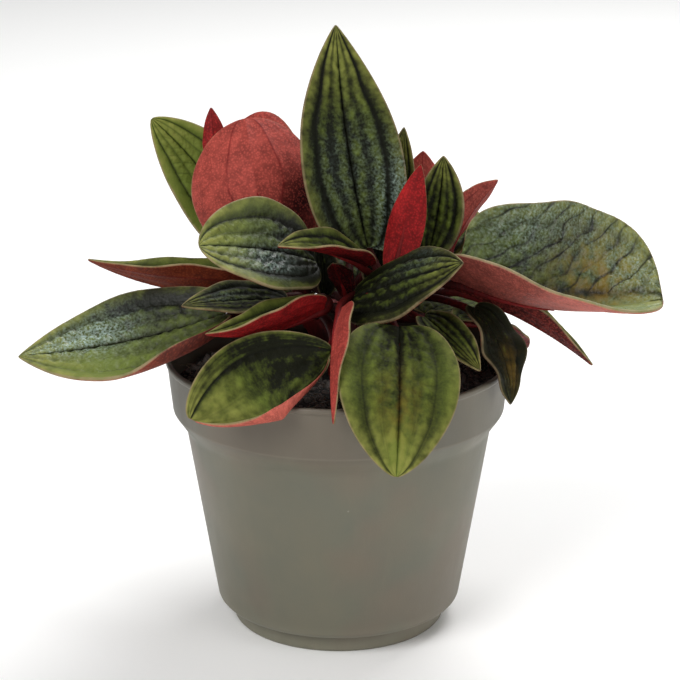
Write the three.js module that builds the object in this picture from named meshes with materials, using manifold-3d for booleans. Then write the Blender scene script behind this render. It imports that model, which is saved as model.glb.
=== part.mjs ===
// A potted peperomia: a loose rosette of fleshy, grooved leaves, green above and red below, whose red
// stalks rise from a short forked stem that stands in the soil of a plain grey nursery pot.
//
// Millimetres and degrees, +Z up. The origin is the middle of the pot's foot, on the surface that it
// stands on, and -Y is the front. Each leaf blade is a solid of its own, with its stalk ending just
// below it. The stem and its stalks grew as one piece, so they are one solid.
import * as THREE from 'three';
import { mergeVertices } from 'three/addons/utils/BufferGeometryUtils.js';
import Module from 'manifold-3d';

const wasm = await Module();
wasm.setup();

// ---------------------------------------------------------------- driving dimensions

const GAP = 0.3; // clearance between pieces that touch

const POT = {
  sides: 40,
  height: 97,
  wall: 1.3,
  rimRadius: 60,
  lipHeight: 2.2,
  lipOverhang: 0.4,
  collarHeight: 78.5, // of the collar's lower edge
  collarRadius: 58,
  shoulderHeight: 72, // where the bevel below the collar meets the wall
  shoulderRadius: 53.5,
  heelHeight: 8.5, // of the wall's lower edge
  heelRadius: 43,
  heelRound: 1.5,
  footHeight: 7,
  footRadius: 37.5,
  footBevel: 0.8,
  footDraft: 1, // how far the foot's inner face leans in
  floor: 2,
  drains: 8,
  drainCircle: 29, // radius of the ring that the drains lie on
  drainLength: 9,
  drainWidth: 5,
};

const SOIL = { level: 87, mound: 2.5, roughness: 0.8, lumps: 0.9, rings: 5 };

const STEM = {
  foot: [2, 0, 60],
  fork: [2, 1, 93],
  radius: 5.5,
  branchRadius: 4,
  branchTops: [[-12, 3, 112], [17, 1, 113], [4, 15, 110]],
  sides: 10,
};

const STALK = {
  radius: 1.6,
  rise: 12, // how far it first goes straight up
  reach: 12, // how far it then runs along under the blade
  dip: 3, // how far that run starts below the blade
  depth: 1, // of the middle of its end below the blade's lower face
  lowJoint: 98, // a blade joined this low has its stalk from the lowest part of a branch
  highJoint: 125, // and one joined this high has it from the branch's end
  lowest: 0.4, // the lowest part that a stalk leaves, as a share of the way up the branch
  sides: 6,
  steps: 4,
};

const BLADE = {
  thickness: 0.9,
  ridge: 0.6, // how far each long band between two veins stands up
  opening: 0.6, // the share of its crease that a blade loses towards its tip
  ripples: 15, // radians of the edge's waves along the blade
  lobeEnd: 0.22, // where the base's lobes fade, as a share of the length
  rows: 8,
  columns: 8,
};

// Every leaf blade. base is where its stalk joins it and tip is its point, both on the middle of its
// thickness, and faces is the way that its upper side looks. width is across the blade laid flat,
// crease is how steeply each half rises from the midrib, and cup is how much further it curls up by
// its edge. A pair gives the left half's value and the right half's, seen from above with the tip
// ahead, and in a pair of widths each is twice its own half. arch lifts the middle of the midrib and
// sweep bends it to the left, as shares of the length, hook bends its tip down, and twist turns the
// tip. widest is how far along the blade is widest, point is how slowly it narrows to its tip, lobe is
// how far its base reaches behind the stalk, as a share of the length, wave is how far its edge
// undulates, and joint is how far along the midrib the stalk meets it.
const LEAF_FORM = {
  crease: 12,
  cup: 10,
  arch: 0.04,
  sweep: 0,
  hook: 0,
  twist: 0,
  widest: 0.4,
  point: 0.95,
  lobe: 0.08,
  wave: 0.5,
  joint: 0.06,
};

const LEAVES = [
  // those that show from the front, from the top down
  { name: 'leaf_tall', base: [10, 4, 134], tip: [-1, 13, 210], faces: [0.2, -1, 0.1],
    width: 37, crease: 14, cup: 8, arch: 0.03, sweep: 0.03, widest: 0.37, point: 0.95 },
  { name: 'leaf_behind_tall', base: [17, 20, 130], tip: [23, 28, 171], faces: [0.1, -1, 0.2],
    width: 14, crease: 14, cup: 20 },
  { name: 'leaf_back_left', base: [-30, 29, 123], tip: [-67, 46, 170], faces: [0.3, -1, 0.2],
    width: 31, crease: 10, cup: 16, arch: -0.03, sweep: -0.06, point: 0.75 },
  { name: 'leaf_bud_front', base: [-24.5, 5, 129], tip: [-32.5, 24, 175], faces: [-0.1, 1, 0.2],
    width: 56, crease: 6, cup: 54, arch: -0.14, hook: -0.12, widest: 0.5, point: 0.45 },
  { name: 'leaf_bud_back', base: [-14, 19, 128], tip: [-30, 41.5, 173], faces: [0.1, 1, 0.2],
    width: [30, 44], crease: 8, cup: 44, arch: -0.09, hook: -0.1, widest: 0.52, point: 0.42 },
  { name: 'leaf_bud_side', base: [-43, 35, 153], tip: [-45.5, 44, 174.5], faces: [0.1, 1, -0.2],
    width: 9.5, crease: 22, cup: 10, arch: -0.03 },
  { name: 'leaf_upright_green', base: [31, 4, 132], tip: [36, 6, 166], faces: [0, -1, 0],
    width: 20, crease: 14, cup: 30, arch: -0.02, sweep: -0.03 },
  { name: 'leaf_upright_red', base: [19, -6, 128], tip: [28, -2, 165], faces: [0.25, 1, 0.1],
    width: 14, crease: 22, cup: 14, arch: -0.02, widest: 0.36 },
  { name: 'leaf_upright_pink', base: [28, 19, 130], tip: [30, 34, 161], faces: [0, 1, 0.2],
    width: 23, crease: 12, cup: 20 },
  { name: 'leaf_back_salmon', base: [38, 22, 126], tip: [57, 40, 149], faces: [-0.5, 0.8, 0.5],
    width: 20, crease: 16, cup: 20 },
  { name: 'leaf_right_broad', base: [38, -10, 127], tip: [109.5, -24, 123], faces: [0, 0.1, 1],
    width: [76, 52], crease: [63, 40], cup: [24, 14], arch: -0.095, twist: 22, widest: 0.52,
    point: 0.28 },
  { name: 'leaf_mid_left', base: [-8, -5, 131], tip: [-46, -34, 145], faces: [-0.1, -0.7, 0.72],
    width: 37, crease: [10, 16], cup: [4, 22], arch: 0.05, widest: 0.47, point: 0.62, lobe: 0 },
  { name: 'leaf_small_centre', base: [9, -11, 132], tip: [-20, -34, 145], faces: [0.2, -0.1, 1],
    width: 20, crease: 34, cup: 14 },
  { name: 'leaf_long_upper', base: [-25, -4, 120], tip: [-86, -4, 132], faces: [0, 0.25, 1],
    width: [28, 30], crease: [42, 53], cup: 12, arch: -0.05, hook: -0.05 },
  { name: 'leaf_long_lower', base: [-38, -23, 118], tip: [-107, -35, 107], faces: [-0.1, -0.55, 0.8],
    width: [43, 37], crease: [24, 8], cup: [12, 4], arch: -0.06 },
  { name: 'leaf_centre_right', base: [5, -18, 122], tip: [41, -40, 141], faces: [-0.25, -0.55, 0.8],
    width: 34, crease: [-16, 0], cup: [-10, 6], arch: 0.01 },
  { name: 'leaf_small_left', base: [-18, -11, 119], tip: [-52, -36, 125], faces: [0, -0.5, 0.85],
    width: 17, crease: 14, cup: 10, arch: 0.02 },
  { name: 'leaf_front_folded', base: [-5, -27, 121.8], tip: [-43.5, -50, 119.8], faces: [0.1, 0.2, 1],
    width: [25, 22], crease: [55, 50], cup: 10, arch: -0.085 },
  { name: 'leaf_right_narrow', base: [37, 3, 120], tip: [88, -8, 95], faces: [0.2, 0.2, 1],
    width: 23, crease: 46, cup: 8, arch: 0.05 },
  { name: 'leaf_front_edge', base: [1.5, -29, 122], tip: [-1.5, -68, 95], faces: [1, 0.3, 0.2],
    width: 17, crease: 36, cup: 10, arch: -0.04, sweep: -0.12 },
  { name: 'leaf_front_left', base: [-2.5, -46, 112.9], tip: [-48, -65.3, 95.8], faces: [-0.19, -0.84, 0.3],
    width: [60, 13], crease: [-8, -10], cup: [62, 10], sweep: -0.2, arch: -0.04, widest: 0.52,
    point: 0.5, lobe: 0.02 },
  { name: 'leaf_front_right', base: [20, -38.5, 118.5], tip: [18.5, -76.5, 80], faces: [0.1, -0.7, 0.7],
    width: [39, 41], crease: 8, cup: -8, arch: 0.1, lobe: 0.03, widest: 0.4, point: 0.7, joint: 0.15 },
  { name: 'leaf_small_right', base: [29, -20, 116], tip: [47, -41, 104], faces: [0.2, -0.6, 0.75],
    width: 15, crease: 16 },
  { name: 'leaf_right_hanging', base: [46, -17, 118.5], tip: [58, -32, 89], faces: [0.75, -0.6, 0.3],
    width: 22, crease: 10, arch: 0.1, wave: 1.4 },

  // the young ones in the heart
  { name: 'leaf_heart_left', base: [-5, 5, 117], tip: [-7, 11, 137], faces: [0.3, -0.6, 0.4],
    width: 11, crease: 30, cup: 20 },
  { name: 'leaf_heart_right', base: [13, 8, 118], tip: [15, 16, 138], faces: [-0.2, -0.7, 0.3],
    width: 12, crease: 30, cup: 20 },
  { name: 'leaf_heart_front', base: [3, -4, 118], tip: [-2, -16, 134], faces: [0, 0.6, 0.5],
    width: 10, crease: 30, cup: 20 },

  // those behind, which fill the rosette
  { name: 'leaf_behind_high', base: [4, 23, 126], tip: [8, 62, 149], faces: [0, -0.4, 0.9],
    width: 31, crease: 18, cup: 14 },
  { name: 'leaf_behind_high_left', base: [-12, 32, 115], tip: [-36, 66, 134], faces: [0.1, -0.3, 0.95],
    width: 28, crease: 16, cup: 16 },
  { name: 'leaf_behind_high_right', base: [30, 27, 116], tip: [50, 64, 132], faces: [-0.1, -0.2, 0.95],
    width: 28, crease: 20, cup: 10 },
  { name: 'leaf_behind', base: [6, 32, 108], tip: [10, 76, 124], faces: [0, -0.5, 0.85],
    width: 38, crease: 12, cup: 6, arch: 0.06, lobe: 0.12 },
  { name: 'leaf_behind_left', base: [-20, 30, 108], tip: [-52, 68, 100], faces: [-0.2, 0.1, 0.95],
    width: 36, crease: 12, cup: 12, arch: 0.06 },
  { name: 'leaf_behind_right', base: [31, 26.5, 103], tip: [60, 68, 93.2], faces: [0.18, 0.05, 0.95],
    width: 32, crease: 9, cup: 8, arch: 0.048 },
  { name: 'leaf_behind_low_right', base: [43, 6.5, 106.5], tip: [68, 27, 90], faces: [0.3, 0.2, 0.9],
    width: 24, crease: 10, cup: 10, arch: 0.05 },
  { name: 'leaf_far_left', base: [-34, 14, 112], tip: [-80, 32, 98], faces: [-0.2, 0, 1],
    width: 30, crease: 18, cup: 8, arch: 0.05 },
  { name: 'leaf_far_right', base: [46, 18, 116], tip: [92, 42, 114], faces: [0.1, -0.1, 1],
    width: 32, crease: 22, cup: 12, arch: 0.04 },
  { name: 'leaf_drooping_middle', base: [3, 42, 107.5], tip: [2, 84, 86.5], faces: [0, 0.4, 0.9],
    width: 27, crease: 10, arch: 0.1, lobe: 0.12 },
  { name: 'leaf_drooping_left', base: [-14, 42, 105], tip: [-30, 80, 82], faces: [-0.3, 0.6, 0.7],
    width: 32, crease: 8, cup: -6, arch: 0.1, lobe: 0.14 },
  { name: 'leaf_drooping_right', base: [19, 42, 102.5], tip: [30, 82, 80], faces: [0.2, 0.6, 0.7],
    width: 32, crease: 10, cup: -6, arch: 0.1, lobe: 0.14 },
];

// ---------------------------------------------------------------- solids

const radians = THREE.MathUtils.degToRad;
const vector = (list) => new THREE.Vector3(...list);

function toSolid(geometry) {
  const bare = geometry.index ? geometry.toNonIndexed() : geometry.clone();
  bare.deleteAttribute('normal');
  bare.deleteAttribute('uv');
  const merged = mergeVertices(bare, 1e-4);
  return new wasm.Manifold(
    new wasm.Mesh({
      numProp: 3,
      vertProperties: merged.attributes.position.array,
      triVerts: new Uint32Array(merged.index.array),
    }),
  );
}

function toGeometry(solid) {
  const mesh = solid.getMesh();
  const points = new Float32Array(mesh.numVert * 3);
  for (let i = 0; i < mesh.numVert; i++) {
    const start = i * mesh.numProp;
    points.set(mesh.vertProperties.subarray(start, start + 3), i * 3);
  }
  return new THREE.BufferGeometry()
    .setAttribute('position', new THREE.BufferAttribute(points, 3))
    .setIndex(new THREE.BufferAttribute(mesh.triVerts, 1));
}

const join = (solids) => solids.reduce((all, solid) => all.add(solid));
const largest = (solid) => solid.decompose().sort((a, b) => b.volume() - a.volume())[0];

// A solid of revolution about +Z from [radius, height] pairs that go round its section.
function turned(profile, sides) {
  const points = profile.map(([radius, height]) => new THREE.Vector2(radius, height));
  return new THREE.LatheGeometry(points, sides).rotateX(Math.PI / 2);
}

// A round tube along a curve.
function tube(curve, radius, sides, steps) {
  const circle = new THREE.Shape().absarc(0, 0, radius, 0, 2 * Math.PI, false);
  return new THREE.ExtrudeGeometry(circle, { extrudePath: curve, steps, curveSegments: sides / 2 });
}

// ---------------------------------------------------------------- leaf blades

// How wide the blade is at s, from 0 at its base to 1 at its tip, as a share of its greatest width.
function outline(leaf, s) {
  const rise = (leaf.point * leaf.widest) / (1 - leaf.widest);
  return (s / leaf.widest) ** rise * ((1 - s) / (1 - leaf.widest)) ** leaf.point;
}

// The midrib's point at s, with the blade's forward, upward and leftward directions there.
function midrib(leaf, s) {
  const chord = vector(leaf.tip).sub(vector(leaf.base));
  const length = chord.length();
  const ahead = chord.clone().normalize();
  const faces = vector(leaf.faces);
  const up = faces.addScaledVector(ahead, -faces.dot(ahead)).normalize();
  const left = up.clone().cross(ahead);
  const bow = 4 * s * (1 - s);
  const bowRate = 4 * (1 - 2 * s);
  const lift = leaf.arch * bow - leaf.hook * (s ** 3 - s);
  const liftRate = leaf.arch * bowRate - leaf.hook * (3 * s ** 2 - 1);
  const point = vector(leaf.base)
    .addScaledVector(chord, s)
    .addScaledVector(up, length * lift)
    .addScaledVector(left, length * leaf.sweep * bow);
  const forward = ahead
    .clone()
    .addScaledVector(up, liftRate)
    .addScaledVector(left, leaf.sweep * bowRate)
    .normalize();
  const upward = forward.clone().cross(left).normalize().applyAxisAngle(forward, radians(leaf.twist * s));
  return { point, forward, upward, leftward: upward.clone().cross(forward), length };
}

// A form value of the left half, where side is 1, or of the right one, where it is -1.
const ofSide = (value, side) => (Array.isArray(value) ? value[side < 0 ? 1 : 0] : value);

// A point of the blade's middle surface, at s along it and v across it, from -1 at the right edge to
// 1 at the left edge.
function bladePoint(leaf, s, v) {
  const { point, forward, upward, leftward, length } = midrib(leaf, s);
  const side = Math.sign(v);
  const crease = radians(ofSide(leaf.crease, side)) * (1 - BLADE.opening * s);
  const cup = radians(ofSide(leaf.cup, side));
  const share = outline(leaf, s);
  const bend = cup * Math.abs(v) * share;
  const radius = ofSide(leaf.width, side) / 2 / cup;
  const across = radius * (Math.sin(crease + bend) - Math.sin(crease));
  const ripple = leaf.wave * Math.sin(leaf.phase + BLADE.ripples * s + 1.3 * side) * v ** 2;
  const band = BLADE.ridge * Math.sin(2 * Math.PI * v) ** 2;
  const above = radius * (Math.cos(crease) - Math.cos(crease + bend)) + (ripple + band) * share;
  const atBase = (1 - Math.exp(-50 * s)) * Math.exp(-((s / BLADE.lobeEnd) ** 2));
  const behind = leaf.lobe * length * Math.abs(v) ** 1.5 * atBase;
  return point
    .addScaledVector(leftward, side * across)
    .addScaledVector(upward, above)
    .addScaledVector(forward, -behind);
}

// The way that the blade's upper side faces at s and v.
function bladeNormal(leaf, s, v) {
  const step = 0.01;
  const from = Math.min(Math.max(s - step, 0.02), 0.96);
  const along = bladePoint(leaf, from + 2 * step, v).sub(bladePoint(leaf, from, v));
  const across = bladePoint(leaf, from + step, v + step).sub(bladePoint(leaf, from + step, v - step));
  return along.cross(across).normalize();
}

// A closed blade, grown on every side by a distance: an upper and a lower skin, both split into the
// same triangles, and the edge between them.
function bladeGeometry(leaf, grown = 0) {
  const { rows, columns, thickness } = BLADE;
  const skin = (offset) =>
    Array.from({ length: rows + 1 }, (_, i) => {
      const s = (1 - Math.cos((Math.PI * i) / rows)) / 2;
      const { forward } = midrib(leaf, s);
      return Array.from({ length: columns + 1 }, (_, j) => {
        const atEnd = i % rows === 0;
        const v = atEnd ? 0 : (2 * j) / columns - 1;
        const normal = bladeNormal(leaf, s, v);
        const point = bladePoint(leaf, s, v).addScaledVector(normal, offset);
        if (atEnd) return point.addScaledVector(forward, i === 0 ? -grown : grown);
        return point.addScaledVector(normal.cross(forward), grown * Math.trunc(v));
      });
    });
  const upper = skin(thickness / 2 + grown);
  const lower = skin(-thickness / 2 - grown);
  const corners = [];
  const triangle = (a, b, c) => {
    const flat = a.distanceTo(b) < 1e-6 || b.distanceTo(c) < 1e-6 || c.distanceTo(a) < 1e-6;
    if (!flat) corners.push(a, b, c);
  };
  for (let i = 0; i < rows; i++) {
    for (let j = 0; j < columns; j++) {
      const [a, b, c, d] = [upper[i][j], upper[i + 1][j], upper[i + 1][j + 1], upper[i][j + 1]];
      const [e, f, g, h] = [lower[i][j], lower[i + 1][j], lower[i + 1][j + 1], lower[i][j + 1]];
      if (j < columns / 2) {
        triangle(a, b, c);
        triangle(a, c, d);
        triangle(e, g, f);
        triangle(e, h, g);
      } else {
        triangle(a, b, d);
        triangle(b, c, d);
        triangle(e, h, f);
        triangle(f, h, g);
      }
    }
    for (const [j, p, q] of [[0, i, i + 1], [columns, i + 1, i]]) {
      triangle(upper[p][j], lower[p][j], lower[q][j]);
      triangle(upper[p][j], lower[q][j], upper[q][j]);
    }
  }
  return new THREE.BufferGeometry().setFromPoints(corners);
}

// ---------------------------------------------------------------- stem and stalks

const straight = (from, to, radius) =>
  tube(new THREE.LineCurve3(vector(from), vector(to)), radius, STEM.sides, 1);
const knuckle = (centre, radius) =>
  new THREE.SphereGeometry(radius, STEM.sides, 4).rotateX(Math.PI / 2).translate(...centre);

function branches() {
  const { foot, fork, radius, branchRadius, branchTops } = STEM;
  return [
    straight(foot, fork, radius),
    knuckle(fork, radius),
    ...branchTops.flatMap((top) => [straight(fork, top, branchRadius), knuckle(top, branchRadius)]),
  ];
}

// A stalk leaves the nearest branch, rises, and runs in under the blade's base.
function stalk(leaf) {
  const { rise, reach, dip, depth, lowJoint, highJoint, lowest } = STALK;
  const { point, forward, upward } = midrib(leaf, leaf.joint);
  const end = point.addScaledVector(upward, -(BLADE.thickness / 2 + GAP + depth));
  const tops = STEM.branchTops.map(vector);
  const top = tops.sort((a, b) => a.distanceTo(end) - b.distanceTo(end))[0];
  const share = THREE.MathUtils.mapLinear(end.z, lowJoint, highJoint, lowest, 1);
  const start = vector(STEM.fork).lerp(top, THREE.MathUtils.clamp(share, lowest, 1));
  const curve = new THREE.CubicBezierCurve3(
    start,
    start.clone().add(new THREE.Vector3(0, 0, rise)),
    end.clone().addScaledVector(forward, -reach).addScaledVector(upward, -dip),
    end,
  );
  return tube(curve, STALK.radius, STALK.sides, STALK.steps);
}

function stems(leaves) {
  const grown = join([...branches(), ...leaves.map(stalk)].map(toSolid));
  const clearance = leaves.map((leaf) => toSolid(bladeGeometry(leaf, GAP)));
  return toGeometry(largest(grown.subtract(join(clearance))));
}

// ---------------------------------------------------------------- pot and soil

// The radius of the collar's outer face, which widens to the rim, at a height.
function collarFace(height) {
  const share = (height - POT.collarHeight) / (POT.height - POT.collarHeight);
  return THREE.MathUtils.lerp(POT.collarRadius, POT.rimRadius, share);
}

// The pot's outer face, from the middle of its foot up to its lip, as [radius, height].
function outerProfile() {
  const { footRadius, footBevel, footHeight, heelRadius, heelHeight, heelRound } = POT;
  const { rimRadius, height, lipHeight, lipOverhang } = POT;
  return [
    [0, 0],
    [footRadius - footBevel, 0],
    [footRadius, footBevel],
    [footRadius, footHeight],
    [heelRadius - heelRound, heelHeight - heelRound],
    [heelRadius, heelHeight],
    [POT.shoulderRadius, POT.shoulderHeight],
    [POT.collarRadius, POT.collarHeight],
    [collarFace(height - lipHeight), height - lipHeight],
    [rimRadius + lipOverhang, height - 0.7 * lipHeight],
    [rimRadius + lipOverhang, height - 0.2 * lipHeight],
    [rimRadius, height],
  ];
}

// The face inside it, with the same bends, from a bottom to a top. The soil has that face too.
function innerProfile(inset, bottom, top) {
  const { footRadius, footDraft, wall } = POT;
  return [
    [footRadius - 2 * footDraft - inset, bottom],
    [footRadius - footDraft - inset, POT.footHeight + wall],
    [POT.heelRadius - inset, POT.heelHeight + wall],
    [POT.shoulderRadius - inset, POT.shoulderHeight + wall / 2],
    [POT.collarRadius - inset, POT.collarHeight + wall / 2],
    [collarFace(top) - inset, top],
  ];
}

function pot() {
  const { floor, wall, height, drains, drainCircle, drainLength, drainWidth } = POT;
  const inside = innerProfile(wall, floor, height).reverse();
  const shell = toSolid(turned([...outerProfile(), ...inside, [0, floor]], POT.sides));
  const drain = new THREE.BoxGeometry(drainLength, drainWidth, 3 * floor).translate(drainCircle, 0, 0);
  const cuts = Array.from({ length: drains }, (_, i) =>
    toSolid(drain.clone().rotateZ((i / drains) * 2 * Math.PI)),
  );
  return toGeometry(shell.subtract(join(cuts)));
}

// The soil's top is a low, uneven mound, and its hole is a plain one for the stem.
function soil() {
  const { level, mound, roughness, lumps, rings } = SOIL;
  const bottom = POT.floor + GAP;
  const edge = innerProfile(POT.wall + GAP, bottom, level);
  const [edgeRadius] = edge.at(-1);
  const top = Array.from({ length: rings - 1 }, (_, i) => {
    const share = 1 - (i + 1) / rings;
    return [share * edgeRadius, level + mound * (1 - share ** 2)];
  });
  const geometry = turned([[0, bottom], ...edge, ...top, [0, level + mound]], POT.sides);
  const position = geometry.attributes.position;
  for (let i = 0; i < position.count; i++) {
    const [x, y, z] = [position.getX(i), position.getY(i), position.getZ(i)];
    const bump = Math.sin(lumps * x + 2) * Math.cos(lumps * y + x / 3);
    if (z > level + mound / 10) position.setZ(i, z + roughness * bump);
  }
  const [footX, footY, footZ] = STEM.foot;
  const hole = straight([footX, footY, footZ - GAP], STEM.fork, STEM.radius + GAP);
  return toGeometry(toSolid(geometry).subtract(toSolid(hole)));
}

// ---------------------------------------------------------------- the plant in its pot

const plastic = () => new THREE.MeshStandardMaterial({ color: 0x7d7d71, roughness: 0.55 });
const earth = () => new THREE.MeshStandardMaterial({ color: 0x1d1714, roughness: 0.95 });
const stalkRed = () => new THREE.MeshStandardMaterial({ color: 0x8a2f2c, roughness: 0.5 });
const leafGreen = () => new THREE.MeshStandardMaterial({ color: 0x44502b, roughness: 0.4 });

const plant = new THREE.Group();

function place(name, geometry, material) {
  const mesh = new THREE.Mesh(geometry, material);
  mesh.name = name;
  plant.add(mesh);
}

const leaves = LEAVES.map((leaf, index) => ({ ...LEAF_FORM, ...leaf, phase: 2.4 * index }));

place('pot', pot(), plastic());
place('soil', soil(), earth());
place('stems', stems(leaves), stalkRed());
for (const leaf of leaves) place(leaf.name, bladeGeometry(leaf), leafGreen());

export default plant;
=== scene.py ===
"""A potted peperomia: its leaf blades, stalks, soil and pot, each shaped and finished in place of its CAD
solid, and the studio that shows it.

Lengths are metres, except in the plant's measures, which are in millimetres. The pot stands on z = 0 with
its front towards -Y.
"""

import math

import bmesh
import bpy
import numpy as np
from bpy.props import FloatProperty, FloatVectorProperty, IntProperty, PointerProperty
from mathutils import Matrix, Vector


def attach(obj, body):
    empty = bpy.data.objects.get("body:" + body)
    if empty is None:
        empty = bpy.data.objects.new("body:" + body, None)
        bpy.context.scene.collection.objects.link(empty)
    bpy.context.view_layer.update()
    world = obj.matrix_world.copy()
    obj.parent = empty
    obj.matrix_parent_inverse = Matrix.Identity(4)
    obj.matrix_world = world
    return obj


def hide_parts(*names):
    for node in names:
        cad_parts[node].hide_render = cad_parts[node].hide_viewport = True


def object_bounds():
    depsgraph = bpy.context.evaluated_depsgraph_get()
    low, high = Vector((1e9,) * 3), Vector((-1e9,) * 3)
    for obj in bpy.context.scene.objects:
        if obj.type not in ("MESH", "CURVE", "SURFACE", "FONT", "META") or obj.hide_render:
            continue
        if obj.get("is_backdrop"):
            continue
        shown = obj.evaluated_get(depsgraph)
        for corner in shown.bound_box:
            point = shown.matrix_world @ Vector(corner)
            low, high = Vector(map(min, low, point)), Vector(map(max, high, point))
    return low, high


bl_info = {
    "name": "Potted peperomia",
    "version": (1, 0, 0),
    "blender": (4, 5, 0),
    "location": "View3D > Sidebar > Plant",
    "description": "Makes a potted peperomia with its studio",
    "category": "Add Mesh",
}

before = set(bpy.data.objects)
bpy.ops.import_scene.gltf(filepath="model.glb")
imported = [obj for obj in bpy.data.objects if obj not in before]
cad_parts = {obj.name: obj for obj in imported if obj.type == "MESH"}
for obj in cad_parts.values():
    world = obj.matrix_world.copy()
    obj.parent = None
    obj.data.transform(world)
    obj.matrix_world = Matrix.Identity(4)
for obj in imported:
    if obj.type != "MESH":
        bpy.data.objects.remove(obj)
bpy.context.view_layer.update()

MM = 0.001
BODY = "root"

# ------------------------------------------------------------------ the studio's measures

# The camera, fitted to the pot's rim and foot, and how many degrees it looks down. In metres.
CAMERA = {"place": (0.0005, -0.8, 0.36), "down": 17.9, "lens": 127.7, "sensor": 36}
# Each soft light's place and width, in metres, and what they all look at.
LIGHTS = {
    "key": ((-0.9, -1.1, 1.25), 1.1),
    "top": ((0.45, 0.75, 1.3), 0.9),
    "fill": ((1.3, -0.9, 0.55), 1.2),
}
LIT_POINT = (0, 0, 0.12)
FLOOR_REACH = 6.0

# ------------------------------------------------------------------ the plant's measures

# The pot's outer corners, upwards from its foot, as (radius, height, fillet).
POT_OUTSIDE = [
    (36.7, 0, 0), (37.5, 0.8, 0.6), (37.5, 7, 0.5), (41.5, 7, 0.8), (43, 8.5, 1.2), (53.5, 72, 1.5),
    (58, 78.5, 0.6), (59.76, 94.8, 0.5), (60.4, 95.46, 0.4), (60.4, 96.56, 0.4), (60, 97, 0.2),
]
# Its inner corners, downwards from its rim.
POT_INSIDE = [
    (58.7, 97, 0.5), (56.84, 79.3, 1.2), (52.2, 72.65, 1.5), (41.7, 9.8, 1.5), (35.2, 8.3, 1.0),
    (34.2, 2, 1.0),
]
FILLET_STEPS = 6
FILLET_LIMIT = 0.45  # of the way to the next corner
DRAINS = {"count": 8, "circle": 29, "length": 9, "width": 5, "low": -2, "high": 4}
# Heights on the pot: the collar's lower edge, where a pale line is a painted highlight, where the collar
# turns darker with painted shade, and where the paler foot, painted light, ends.
COLLAR_EDGE = 78.7
COLLAR_SHADE = (76, 79)
FOOT_DUST = (3, 12)

SOIL_LEVEL = 87
SOIL_MOUND = 2.5
SOIL_REACH = 56  # the radius where the mound ends
SOIL_LUMPS = [(0.7, 16, 11), (0.35, 5, 12)]  # height, size and seed
SOIL_SIDES = 120
SOIL_RINGS = 34
SOIL_EDGE = 57.25
SOIL_EDGE_DROP = 2  # how far the soil is rounded off by the wall
SOIL_WALL = [(51.9, 72.65), (41.4, 9.8), (34.9, 8.3), (33.9, 2.3)]  # (radius, height), downwards
LITTER_RING = (8, 54.5)  # the radii that crumbs and fibres lie between
LITTER_STEPS = 61
FULL_TURN = 6.28
CRUMB_SHAKE = (1.3, 1.4)  # the size of the lumps, and how far they move a point
FIBRE_SHAKE = (7, 9)
FIBRE_RADIUS = 0.16

STEM_FOOT = (2, 0, 60)
STEM_FORK = (2, 1, 93)
STEM_RADIUS = 5.5
BRANCH_RADIUS = 4
BRANCH_TOPS = [(-12, 3, 112), (17, 1, 113), (4, 15, 110)]
BRANCH_STEPS = 12
BRANCH_KNOTS = (0.07, 9)  # how thick, as a share of the radius, and how close
CAP_TURNS = (0.2, 1.45, 6)  # round a branch's end: from, to, and in how many rings

# A stalk rises from its branch, the lower the blade the lower down, and reaches its blade from a dip below
# it. It runs on along the blade as a keel, sunk less and less in it. Both taper, and the stalk of a young
# blade is thinner than that of one of full_width.
STALK = {
    "radius": 1.6, "rise": 12, "reach": 12, "dip": 3, "low_joint": 98, "high_joint": 125, "lowest": 0.4,
    "gap": 0.4, "steps": 26, "taper": (1.12, 0.92), "youngest": 0.62, "full_width": 90,
    "keel_end": 0.5, "keel_steps": 14, "keel_drop": (0.75, 0.3), "keel_taper": (0.75, 0.12),
}

BLADE_THICKNESS = 0.9
CREASE_OPENING = 0.6  # how much flatter the crease is at the tip
EDGE_RIPPLES = 15  # how far the edge's wave turns along the blade, in radians
LOBE_END = 0.22  # how far along the base's lobes have faded
LONG_VEINS = (0, 0.32, 0.64, 1)  # shares of the way from the midrib to the edge, which is the last
VEIN_BREADTH = (0.12, 0.34)  # the narrowest and the broadest
VEIN_STRAY = 0.04  # how far a long vein wanders, against the half's width
BAND_LIMIT = 1.4  # the most that a band rises
LAST_BAND = (0.66, 0.8)  # how much of its arc the band by the edge has, and how light it gets
SADDLE = 0.12  # how wide a weak vein's saddle is, against the half's width
FULL_RELIEF = 12  # the half's width from which the furrows are at their deepest
CROSS_SLANT = 0.9  # how far ahead a cross vein runs, against its way out
CROSS_STRAY = 0.22
CROSS_END = 0.74  # where the cross veins fade, by the edge
# How the relief wanders: the size of its lumps, and what is added to the blade's own seed.
WANDERINGS = {"vein": (24, 900), "cross": (13, 0), "uneven": (17, 300), "lumps": (3.4, 500)}
PATCH_REACH = (0.22, 0.42)  # along and across
KEEL_HEIGHT = 0.35  # under the midrib
KEEL_BREADTH = 0.9
RINGS_PER_MM = 1.7
RINGS = (44, 130)  # along a blade, at least and at most
END_GAP = 0.002  # from the base, and from the tip, to the nearest ring, as a share of the length
WIDE = 24
STEPS_ACROSS = {True: 11, False: 7}  # in each band of a wide blade, and of a narrow one
EDGE_TURNS = (0.25, 0.5, 0.75)
BANDS_BELOW = 0.35  # how much of the bands and of the furrows shows on the lower side
FURROWS_BELOW = 0.1
GLOSSY_FROM = 0.6  # the gloss from which a blade has the glossy skin


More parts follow.
